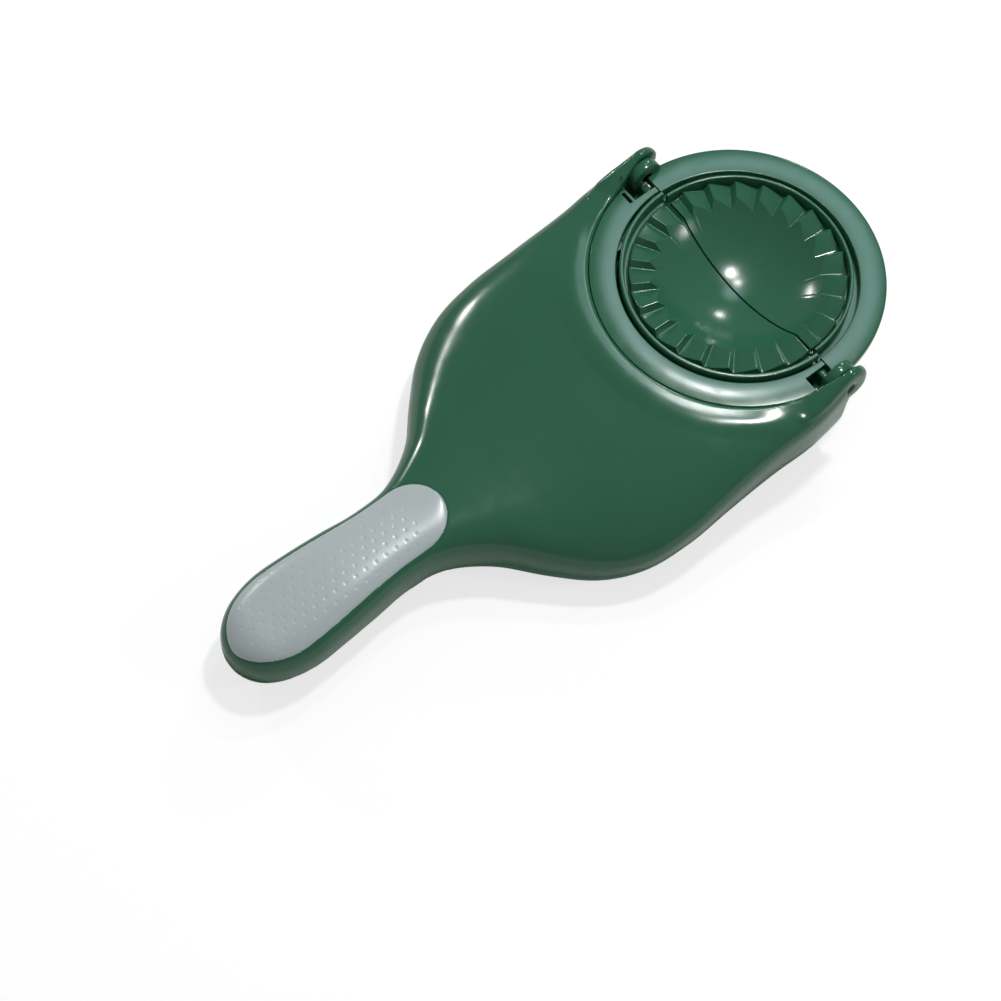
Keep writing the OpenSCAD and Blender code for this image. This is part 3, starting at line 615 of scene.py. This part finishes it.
# %% [markdown]
# ## The base cover
# A flat cover closes the underside. It has the same outline, a rounded edge up to the parting line and a
# round recess for each of its five screws.

# %% Base cover
cover_voxel = 0.6
head_in, hole_r, hole_deep = 0.6, 2.85, 1.8
handle_spot = 35
cover = lofted("bottom_cover", lower_rows)
screw_spots = [(hinge_x - back, y, head_in) for back, y in ((30, 29), (30, -29), (66, 20), (66, -20))]
handle_low = float(waist(handle_spot) - drop(handle_spot))
screw_spots.append((end_x + handle_spot, 0, handle_low + head_in))
holes = [prism("head_hole", circle(x, y, hole_r, 48), "z", z - 10, z + hole_deep) for x, y, z in screw_spots]
for hole in holes:
    boolean_step(cover, hole, "DIFFERENCE")
remesh_softly(cover, cover_voxel)
apply_modifiers(cover)
put_away(*holes)
cover.data.shade_smooth()
print("cover faces:", len(cover.data.polygons))

# %% [markdown]
# ## The grip pad
# A soft grey pad is let into the handle. It follows the crown, stands a little proud and has rows of small
# shallow dimples. The pad is a grid over its outline, closed underneath.

# %% Grip pad
pad_long, pad_across = 300, 96
proud, pad_crown, edge_fall, pad_deep = 0.15, 0.75, 0.6, 0.85
share = (1 - np.cos(np.linspace(0.02, math.pi - 0.02, pad_long))) / 2
share = 0.55 * share + 0.45 * np.linspace(share[0], share[-1], pad_long)
flat = []
for s in share:
    dist = grip_start + (grip_end - grip_start) * s
    half = float(grip_half(s)) - 0.02
    flat += [(end_x + dist, half * math.sin((i / pad_across - 0.5) * math.pi)) for i in range(pad_across + 1)]
flat = np.array(flat)
fd, fy = flat[:, 0] - end_x, flat[:, 1]
fq = fy / np.maximum(grip_half(np.clip((fd - grip_start) / (grip_end - grip_start), 0, 1)), 0.1)
edge_in = np.clip(np.maximum(inside_grip(fd, fy), 0) / 0.9, 0, 1)
z_crown = crown_z(fd, fy)
z_top = z_crown + proud + pad_crown * (1 - np.minimum(1, fq ** 2)) * ease(edge_in * 0.9 + 0.1)
z_top -= edge_fall * (1 - edge_in) ** 2
z_low = z_crown - pad_deep
m = pad_across + 1
rows = []
for k in range(pad_long):
    part = slice(k * m, (k + 1) * m)
    up = [(x, y, z) for (x, y), z in zip(flat[part], z_top[part])]
    down = [(x, y, z) for (x, y), z in zip(flat[part], z_low[part])][::-1]
    rows.append(up + down)
pad = lofted("soft_pad", rows)
print("pad points:", len(pad.data.vertices))

# %% [markdown]
# The dimples repeat on a staggered grid, so a Geometry Nodes tree makes them. It folds each point's place
# into one cell of the grid, measures how far it lies from the cell's middle and pushes it down by a smooth
# bump. Pitch, diameter and depth are the tree's named inputs. A stored value called room, 0 at the pad's edge
# and 1 away from it, keeps the border smooth.

# %% The dimple tree: each point's place in its cell
dimple_sizes = {"Pitch": 3.1 * MM, "Diameter": 1.2 * MM, "Depth": 0.1 * MM}
tree, given, result = new_tree("dimples", dimple_sizes)
place = add(tree, "ShaderNodeSeparateXYZ", inputs={0: add(tree, "GeometryNodeInputPosition")})
pitch = given.outputs["Pitch"]
row_gap = add(tree, "ShaderNodeMath", {"operation": "MULTIPLY"}, {0: pitch, 1: 0.75})
row_exact = add(tree, "ShaderNodeMath", {"operation": "DIVIDE"}, {0: place.outputs["Y"], 1: row_gap})
row_no = add(tree, "ShaderNodeMath", {"operation": "ROUND"}, {0: row_exact})
row_y = add(tree, "ShaderNodeMath", {"operation": "MULTIPLY"}, {0: row_no, 1: row_gap})
off_y = add(tree, "ShaderNodeMath", {"operation": "SUBTRACT"}, {0: place.outputs["Y"], 1: row_y})
odd_row = add(tree, "ShaderNodeMath", {"operation": "FLOORED_MODULO"}, {0: row_no, 1: 2.0})
cells_x = add(tree, "ShaderNodeMath", {"operation": "DIVIDE"}, {0: place.outputs["X"], 1: pitch})
cells_x = add(tree, "ShaderNodeMath", {"operation": "MULTIPLY_ADD"}, {0: odd_row, 1: 0.5, 2: cells_x})
cell_no = add(tree, "ShaderNodeMath", {"operation": "ROUND"}, {0: cells_x})
in_cell = add(tree, "ShaderNodeMath", {"operation": "SUBTRACT"}, {0: cells_x, 1: cell_no})
off_x = add(tree, "ShaderNodeMath", {"operation": "MULTIPLY"}, {0: in_cell, 1: pitch})
print("dimple tree, first half:", len(tree.nodes), "nodes")

# %% The dimple tree: the push down
offset = add(tree, "ShaderNodeCombineXYZ", inputs={0: off_x, 1: off_y})
far = add(tree, "ShaderNodeVectorMath", {"operation": "LENGTH"}, {0: offset})
radius = add(tree, "ShaderNodeMath", {"operation": "MULTIPLY"}, {0: given.outputs["Diameter"], 1: 0.5})
near = add(tree, "ShaderNodeMath", {"operation": "DIVIDE"}, {0: far.outputs["Value"], 1: radius})
bump = add(tree, "ShaderNodeMapRange", {"interpolation_type": "SMOOTHSTEP"},
           {"Value": near, "To Min": 1.0, "To Max": 0.0})
room = add(tree, "GeometryNodeInputNamedAttribute", {"data_type": "FLOAT"}, {"Name": "room"})
bump = add(tree, "ShaderNodeMath", {"operation": "MULTIPLY"}, {0: bump, 1: room})
sink = add(tree, "ShaderNodeMath", {"operation": "MULTIPLY"}, {0: bump, 1: given.outputs["Depth"]})
down = add(tree, "ShaderNodeVectorMath", {"operation": "SCALE"}, {0: (0.0, 0.0, -1.0), "Scale": sink})
moved = add(tree, "GeometryNodeSetPosition", inputs={"Geometry": given, "Offset": down})
real = add(tree, "GeometryNodeRealizeInstances", inputs={"Geometry": moved})
dressed = add(tree, "GeometryNodeSetMaterial", inputs={"Geometry": real, "Material": grey})
tree.links.new(dressed.outputs[0], result.inputs[0])
print("dimple tree:", len(tree.nodes), "nodes")

# %% Dimple the pad
room = pad.data.attributes.new("room", "FLOAT", "POINT")
pc = np.empty(len(pad.data.vertices) * 3)
pad.data.vertices.foreach_get("co", pc)
pc = pc.reshape(-1, 3) / MM
pd = pc[:, 0] - end_x
smooth_border, smooth_front = 1.6, 8
is_top = pc[:, 2] > crown_z(np.clip(pd, 0.1, 160), pc[:, 1]) - 0.5
free = ease((inside_grip(pd, pc[:, 1]) - smooth_border) / 0.8)
free = free * ease((grip_end - smooth_front - pd) / 3) * is_top
room.data.foreach_set("value", free.astype(np.float32))
run_tree(pad, tree, dimple_sizes)
smooth_to(pad, 50)
print("pad faces:", len(pad.data.polygons))

# %% [markdown]
# ## Turned half rings
# The deck plate, the leaf's flange and both bowls are half turns of a profile about a middle that lies just
# beside the hinge line. One function sweeps a profile half a turn and closes both ends.

# %% Half turns
def half_turn(name, profile, side, middle_x):
    """Half a turn of a closed profile of (radius, height) pairs. side is 1 on the leaf and -1 on the body."""
    rows, steps = [], 360
    for k in range(steps + 1):
        a = math.radians(-90 * side + 180 * k / steps)
        rows.append([(middle_x + r * math.cos(a), r * math.sin(a), z) for r, z in profile])
    return lofted(name, rows)


# %% [markdown]
# ## Deck plate
# A flat half ring closes the head around the rear bowl. It has a notch for each knuckle and a thin slot
# behind the left one. Three round lugs under it take the rear bowl's screws.

# %% Deck plate
deck_in, deck_out = 31.4, rim_r - 0.15
under_deck, over_deck = 20, 40
deck_profile = rounded([(deck_in, seat_z), (deck_out, seat_z), (deck_out, deck_top), (deck_in, deck_top)],
                       [0, 0, 0.25, 0.3])
deck = half_turn("deck_ring", deck_profile, -1, rear_x)
cut_plan = [(notch_x, notch_in_y), (notch_x, 39), (hinge_x + 3, 39), (hinge_x + 3, notch_in_y)]
slot_x0, slot_x1, slot_end_y = hinge_x - 8.6, hinge_x - 7.5, 36.6
slot_plan = [(slot_x0, notch_in_y), (slot_x1, notch_in_y), (slot_x1, slot_end_y), (slot_x0, slot_end_y)]
plate_cuts = [prism(f"plate_cut_{side}", [(x, side * y) for x, y in cut_plan], "z", under_deck, over_deck)
              for side in (-1, 1)]
plate_cuts.append(prism("slot_cut", slot_plan, "z", under_deck, over_deck))
for cut in plate_cuts:
    boolean_step(deck, cut, "DIFFERENCE")
apply_modifiers(deck)
put_away(*plate_cuts)
lug_r, lug_at, lug_low, lug_high = 1.6, 32.2, 24.3, 27.9
lugs = []
for turned in (-55, 0, 55):
    a = math.radians(turned)
    plan = circle(rear_x - lug_at * math.cos(a), lug_at * math.sin(a), lug_r, 32)
    lugs.append(prism(f"lug_{turned}", plan, "z", lug_low, lug_high))
join_into(deck, lugs)
smooth_to(deck, 35)
print("deck faces:", len(deck.data.polygons))

# %% Thin rib beside the left notch
rib_back, rib_high = hinge_x - 7.4, 1.6
rib_path = [(33.2, 29.7), (35.5, 29.78), (37.3, 29.85), (37.75, 30.6), (38.3, 32.2), (38.9, 34.2)]
rib_rows = [[(rib_back, y, z - rib_high), (notch_x, y, z - rib_high), (notch_x, y, z), (rib_back, y, z)]
            for y, z in rib_path]
rib = smooth_to(lofted("notch_rib", rib_rows), 40)
print("rib faces:", len(rib.data.polygons))

# %% [markdown]
# ## The pleated bowls
# Both bowls are the main working pieces, and their shape follows a rule. Seen from the middle, the profile
# is always the same: bowl, pleat, moat, raised ring. Only the pleat's height changes, as a saw-tooth wave
# around the half turn. So each point is stored twice, once with the pleat up and once with it down, and a
# Geometry Nodes tree mixes the two by the wave. The number of pleats is in the stored turns, and the share
# of the riser, its shift and the rounding of its edges are the tree's named inputs. The two bowls' waves are
# half a pleat apart, so that they mesh when the leaf is folded over.

# %% The pleat tree
pleat_sizes = {"Riser share": 0.19, "Shift": 0.0, "Edge rounding": 0.07}
tree, given, result = new_tree("pleats", pleat_sizes)
share, soft = given.outputs["Riser share"], given.outputs["Edge rounding"]
turn = add(tree, "GeometryNodeInputNamedAttribute", {"data_type": "FLOAT"}, {"Name": "turn"})
start = add(tree, "ShaderNodeMath", {"operation": "MULTIPLY_ADD"},
            {0: share, 1: 0.5, 2: given.outputs["Shift"]})
since = add(tree, "ShaderNodeMath", {"operation": "SUBTRACT"}, {0: turn, 1: start})
wave = add(tree, "ShaderNodeMath", {"operation": "FLOORED_MODULO"}, {0: since, 1: 1.0})
ramp_long = add(tree, "ShaderNodeMath", {"operation": "SUBTRACT"}, {0: 1.0, 1: share})
ramp = add(tree, "ShaderNodeMath", {"operation": "DIVIDE"}, {0: wave, 1: ramp_long})
left = add(tree, "ShaderNodeMath", {"operation": "SUBTRACT"}, {0: 1.0, 1: wave})
riser = add(tree, "ShaderNodeMath", {"operation": "DIVIDE"}, {0: left, 1: share})
tooth = add(tree, "ShaderNodeMath", {"operation": "SMOOTH_MIN"}, {0: ramp, 1: riser, 2: soft})
foot = add(tree, "ShaderNodeMath", {"operation": "MULTIPLY"}, {0: soft, 1: 0.5})
tooth = add(tree, "ShaderNodeMath", {"operation": "SMOOTH_MAX"}, {0: tooth, 1: foot, 2: soft})
down_at = add(tree, "GeometryNodeInputNamedAttribute", {"data_type": "FLOAT_VECTOR"}, {"Name": "down"})
up_at = add(tree, "GeometryNodeInputPosition")
mixed = add(tree, "ShaderNodeMix", {"data_type": "VECTOR"}, {0: tooth, 4: down_at, 5: up_at})
moved = add(tree, "GeometryNodeSetPosition", inputs={"Geometry": given, "Position": mixed.outputs[1]})
real = add(tree, "GeometryNodeRealizeInstances", inputs={"Geometry": moved})
dressed = add(tree, "GeometryNodeSetMaterial", inputs={"Geometry": real, "Material": green})
tree.links.new(dressed.outputs[0], result.inputs[0])
pleat_tree = tree
print("pleat tree:", len(tree.nodes), "nodes")

# %% Profiles of a bowl with the pleat up or down
pleats = 12
pleat_out_r, pleat_out_low = 27.65, 2.7
bowl_low_r = math.sqrt(bowl_ball ** 2 - (bowl_ball - bowl_deep + pleat_low) ** 2)


def bowl_depth(r):
    """Depth of the bowl under the ring's top at the radius r."""
    return bowl_deep - (bowl_ball - math.sqrt(bowl_ball ** 2 - r ** 2))


def bowl_column(up, out_low, ring, back):
    """Radii and heights down one profile: bowl, pleat, moat, ring and the back that is given."""
    r_in = bowl_edge_r if up else bowl_low_r
    r_out = pleat_out_r if up else out_low
    d_in, d_out = (pleat_high, pleat_high) if up else (pleat_low, pleat_out_low)
    column = [(r_in * s, bowl_depth(r_in * s)) for s in np.linspace(0, 1, 34)[:-1]]
    column += [(r_in + (r_out - r_in) * t, d_in + (d_out - d_in) * t) for t in np.linspace(0, 0.985, 14)]
    column += [(r_out + 0.02, d_out + 0.06), (r_out + 0.05, d_out + 0.2), (r_out + 0.06, moat_deep - 0.25)]
    column += [(r_out + 0.14, moat_deep - 0.08), (r_out + 0.35, moat_deep)]
    r0, r1 = ring
    column += [(r0 - 0.3, moat_deep), (r0 - 0.08, moat_deep - 0.1), (r0, moat_deep - 0.35), (r0, 0.3),
               (r0 + 0.06, 0.12), (r0 + 0.2, 0.02), (r0 + 0.32, 0), (r1 - 0.32, 0), (r1 - 0.2, 0.02),
               (r1 - 0.06, 0.12), (r1, 0.3)]
    column += [(r, ring_top - z) for r, z in back]
    column += [(bowl_low_r + 1, moat_deep + wall_t)]
    column += [(bowl_low_r * s, bowl_depth(bowl_low_r * s) + wall_t) for s in np.linspace(1, 0, 16)]
    return [(r, ring_top - depth) for r, depth in column]


def pleated_bowl(name, side, middle_x, out_low, ring, back, shift):
    """One half bowl as a closed mesh whose pleats are set by the tree."""
    up = bowl_column(True, out_low, ring, back)
    low = bowl_column(False, out_low, ring, back)
    m, steps = len(up), 540
    points, lows, turns, index = [], [], [], {}
    for k in range(steps + 1):
        a = math.radians(-90 * side + 180 * k / steps)
        for i in range(m):
            if i in (0, m - 1) and k > 0:
                index[k, i] = index[0, i]
                continue
            index[k, i] = len(points)
            points.append((middle_x + up[i][0] * math.cos(a), up[i][0] * math.sin(a), up[i][1]))
            lows.append((middle_x + low[i][0] * math.cos(a), low[i][0] * math.sin(a), low[i][1]))
            turns.append(pleats * k / steps)
    faces = []
    for k in range(steps):
        for i in range(m - 1):
            corners = index[k, i], index[k + 1, i], index[k + 1, i + 1], index[k, i + 1]
            quad = list(dict.fromkeys(corners))
            if len(quad) > 2:
                faces.append(quad)
    faces.append([index[0, i] for i in range(m)])
    faces.append([index[steps, i] for i in range(m)][::-1])
    bowl = mesh_object(name, points, faces)
    turn = bowl.data.attributes.new("turn", "FLOAT", "POINT")
    turn.data.foreach_set("value", turns)
    down = bowl.data.attributes.new("down", "FLOAT_VECTOR", "POINT")
    down.data.foreach_set("vector", (np.array(lows) * MM).ravel())
    run_tree(bowl, pleat_tree, {**pleat_sizes, "Shift": shift})
    for spare in ("turn", "down"):
        bowl.data.attributes.remove(bowl.data.attributes[spare])
    outward(bowl)
    return smooth_to(bowl, 38)

# %% The rear bowl and the leaf's bowl
rear_back = [(30.55, 24.25), (30.45, 24.08), (30.3, 24.05), (29.7, 24.05), (29.55, 24.08), (29.45, 24.25),
             (29.45, 25.4), (28.6, 25.4)]
rear_bowl = pleated_bowl("rear_bowl", -1, rear_x - edge_step, 27.9, (29.45, 30.55), rear_back, 0.0)
leaf_x = hinge_x + seam_gap
leaf_back = [(29.1, 27.35), (34.6, 27.35), (34.95, 27.25), (35, 26.9), (35, 25.9), (34.9, 25.6),
             (34.6, 25.55), (30, 25.5), (28.6, 25.4)]
leaf_bowl = pleated_bowl("leaf_bowl", 1, leaf_x + edge_step, 26.9, (28.2, 29.1), leaf_back, 0.5)
print("bowl faces:", len(rear_bowl.data.polygons), len(leaf_bowl.data.polygons))

# %% [markdown]
# ## The leaf's flange
# The flange is a flat half ring with a bevelled edge. A round knuckle at each end turns on a pin.

# %% Flange and knuckles
flange_in, flange_t = 30.85, 2.5
under = deck_top - flange_t
flange_profile = rounded([(flange_in, under), (leaf_r, under), (leaf_r, deck_top), (flange_in, deck_top)],
                         [0, 0.5, 0.6, 0.25])
flange = half_turn("leaf_flange", flange_profile, 1, leaf_x)
knuckle_profile = [(36.3, 4.3), (36.4, 4.5), (36.6, 4.6), (38.9, 4.6), (39.1, 4.5), (39.2, 4.3)]
knuckles = [lathe_y(f"knuckle_{side}", knuckle_profile, hinge_x, deck_h, side, 72) for side in (-1, 1)]
join_into(flange, knuckles)
smooth_to(flange, 35)
print("flange faces:", len(flange.data.polygons))

# %% Give every piece its material and its body
def finish_piece(obj, mat, slot, body, *nodes):
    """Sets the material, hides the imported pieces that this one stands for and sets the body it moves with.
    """
    obj.data.materials.clear()
    obj.data.materials.append(mat)
    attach(obj, body)
    if nodes:
        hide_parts(*nodes)


finish_piece(upper_shell, green, "green_plastic", "body", "upper_shell")
finish_piece(cover, green, "green_plastic", "body", "base_cover")
finish_piece(pad, grey, "grip_rubber", "body", "grip_pad")
finish_piece(deck, green, "green_plastic", "body", "deck_plate")
finish_piece(rib, green, "green_plastic", "body")
finish_piece(rear_bowl, green, "green_plastic", "body", "rear_mould")
finish_piece(leaf_bowl, green, "green_plastic", "leaf", "front_mould")
finish_piece(flange, green, "green_plastic", "leaf", "leaf_frame")
for name in ("hinge_pin_left", "hinge_pin_right", "cover_screws", "mould_screws", "leaf_screws"):
    node = frame["nodes"][name]
    if not node.material_slots:
        node.data.materials.append(steel)
    for one in node.material_slots:
        one.material = steel
dressed_pieces = (upper_shell, cover, pad, deck, rib, rear_bowl, leaf_bowl, flange)
print("dressed pieces:", [piece.name for piece in dressed_pieces])

# %% [markdown]
# ## Floor, light and camera
# The photograph is a cut-out on white. The floor is a plain pale plane that takes the tool's soft shadow,
# and rays from the camera see it white where no shadow falls. One soft bluish window in an otherwise even
# world gives the broad reflections on the deck and the flange, and five small round lamps give the sharp
# highlights in the bowls and along the rim and the grip.

# %% Floor
floor_half = 4000
corners = [(a * floor_half, b * floor_half, 0) for a, b in ((-1, -1), (1, -1), (1, 1), (-1, 1))]
floor = mesh_object("floor", corners, [(0, 1, 2, 3)])
paper, tree, shader = new_material("pale_paper", {"Roughness": 0.9, "Base Color": hex_colour("#F4F4F2")})
path = add(tree, "ShaderNodeLightPath")
glow = add(tree, "ShaderNodeEmission", inputs={"Color": (1, 1, 1, 1), "Strength": 1.3})
seen = add(tree, "ShaderNodeMath", {"operation": "MULTIPLY"}, {0: path.outputs["Is Camera Ray"], 1: 0.55})
mix = add(tree, "ShaderNodeMixShader", inputs={0: seen, 1: shader, 2: glow})
tree.links.new(mix.outputs[0], tree.nodes["Material Output"].inputs["Surface"])
floor.data.materials.append(paper)
print("floor:", 2 * floor_half * MM, "m wide")


# %% Directions
def direction(azimuth_deg, elevation_deg):
    """A direction from its azimuth and its elevation, both in degrees."""
    a, e = math.radians(azimuth_deg), math.radians(elevation_deg)
    return (math.cos(e) * math.cos(a), math.cos(e) * math.sin(a), math.sin(e))

# %% World: even light with one soft bluish window, white to the camera
window_edge, window_core = 8.5, 0.5
even_light, window_light = (0.24, 0.24, 0.24, 1), (3.2, 4.4, 4.8, 1)
world = bpy.data.worlds.new("studio")
bpy.context.scene.world = world
world.use_nodes = True
tree = world.node_tree
background = tree.nodes["Background"]
look_way = add(tree, "ShaderNodeTexCoord").outputs["Generated"]
toward = add(tree, "ShaderNodeVectorMath", {"operation": "DOT_PRODUCT"},
             {0: look_way, 1: direction(34, 56.5)})
window = add(tree, "ShaderNodeMapRange", {"interpolation_type": "SMOOTHSTEP"},
             {"Value": toward.outputs["Value"], "From Min": math.cos(math.radians(window_edge)),
              "From Max": math.cos(math.radians(window_core))})
sky = add(tree, "ShaderNodeMix", {"data_type": "RGBA"}, {0: window, 6: even_light, 7: window_light})
path = add(tree, "ShaderNodeLightPath")
shown = add(tree, "ShaderNodeMix", {"data_type": "RGBA"},
            {0: path.outputs["Is Camera Ray"], 6: sky.outputs[2], 7: (1, 1, 1, 1)})
tree.links.new(shown.outputs[2], background.inputs["Color"])
background.inputs["Strength"].default_value = 1.0
print("world:", len(tree.nodes), "nodes")

# %% Lamps
def lamp(name, near, azimuth_deg, elevation_deg, away, size, power):
    """A round lamp at a distance from the point near, in millimetres, that looks at that point."""
    data = bpy.data.lights.new(name, "AREA")
    data.shape = "DISK"
    data.size = size * MM
    data.energy = power
    obj = bpy.data.objects.new(name, data)
    way = Vector(direction(azimuth_deg, elevation_deg))
    obj.location = (Vector(near) + way * away) * MM
    obj.rotation_euler = way.to_track_quat("Z", "Y").to_euler()
    bpy.context.scene.collection.objects.link(obj)


lamp("ceiling_lamp", (65, 5, 21), 12.3, 72.7, 1000, 80, 4.0)
lamp("front_lamp", (54, -3, 22), 31, 30, 1000, 50, 0.8)
lamp("side_lamp", (75, -14, 27), 97.6, 23.5, 1000, 50, 0.9)
lamp("right_lamp", (60, 19, 27), -54, 34.6, 1000, 130, 0.9)
lamp("desk_lamp", (34, -20, 30), 36.2, 60.8, 350, 12, 0.1)
print("lamps:", len(bpy.data.lights))

# %% [markdown]
# ## Camera
# The camera was fitted to the photograph's outline: it looks down at 58 degrees from behind the handle's
# left, slightly rolled, through a long lens.

# %% Camera
photo_px, sensor_mm = 1001, 36
photo_mid = photo_px / 2
lens_px, distance = 2741.5, 702.94
azimuth, tilt, roll = map(math.radians, (-143.42, 31.92, 14.15))
target_px = (739.82, 271.56)
out_dir = np.array([math.sin(tilt) * math.cos(azimuth), math.sin(tilt) * math.sin(azimuth), math.cos(tilt)])
forward = -out_dir
right = np.cross(forward, [0, 0, 1])
right /= np.linalg.norm(right)
look = np.array([right, np.cross(forward, right), forward])
across = math.atan2(target_px[0] - photo_mid, lens_px)
down = math.atan2(target_px[1] - photo_mid, math.hypot(lens_px, target_px[0] - photo_mid))
turn_y = np.array([[math.cos(across), 0, math.sin(across)], [0, 1, 0],
                   [-math.sin(across), 0, math.cos(across)]])
turn_x = np.array([[1, 0, 0], [0, math.cos(down), math.sin(down)], [0, -math.sin(down), math.cos(down)]])
turn_z = np.array([[math.cos(roll), -math.sin(roll), 0], [math.sin(roll), math.cos(roll), 0], [0, 0, 1]])
axes = turn_y @ turn_x @ turn_z @ look
eye = np.array([hinge_x, 0, ring_top]) + out_dir * distance
cam_data = bpy.data.cameras.new("photo_camera")
cam_data.sensor_width = sensor_mm
cam_data.lens = lens_px / photo_px * sensor_mm
cam_data.clip_start = 0.01
cam = bpy.data.objects.new("photo_camera", cam_data)
rows = [(axes[0][i], -axes[1][i], -axes[2][i], eye[i] * MM) for i in range(3)]
cam.matrix_world = Matrix((*rows, (0, 0, 0, 1)))
bpy.context.scene.collection.objects.link(cam)
bpy.context.scene.camera = cam
bpy.context.scene.view_settings.view_transform = "Standard"
print("camera at", [round(v * MM, 3) for v in eye], "lens", round(cam_data.lens, 2))
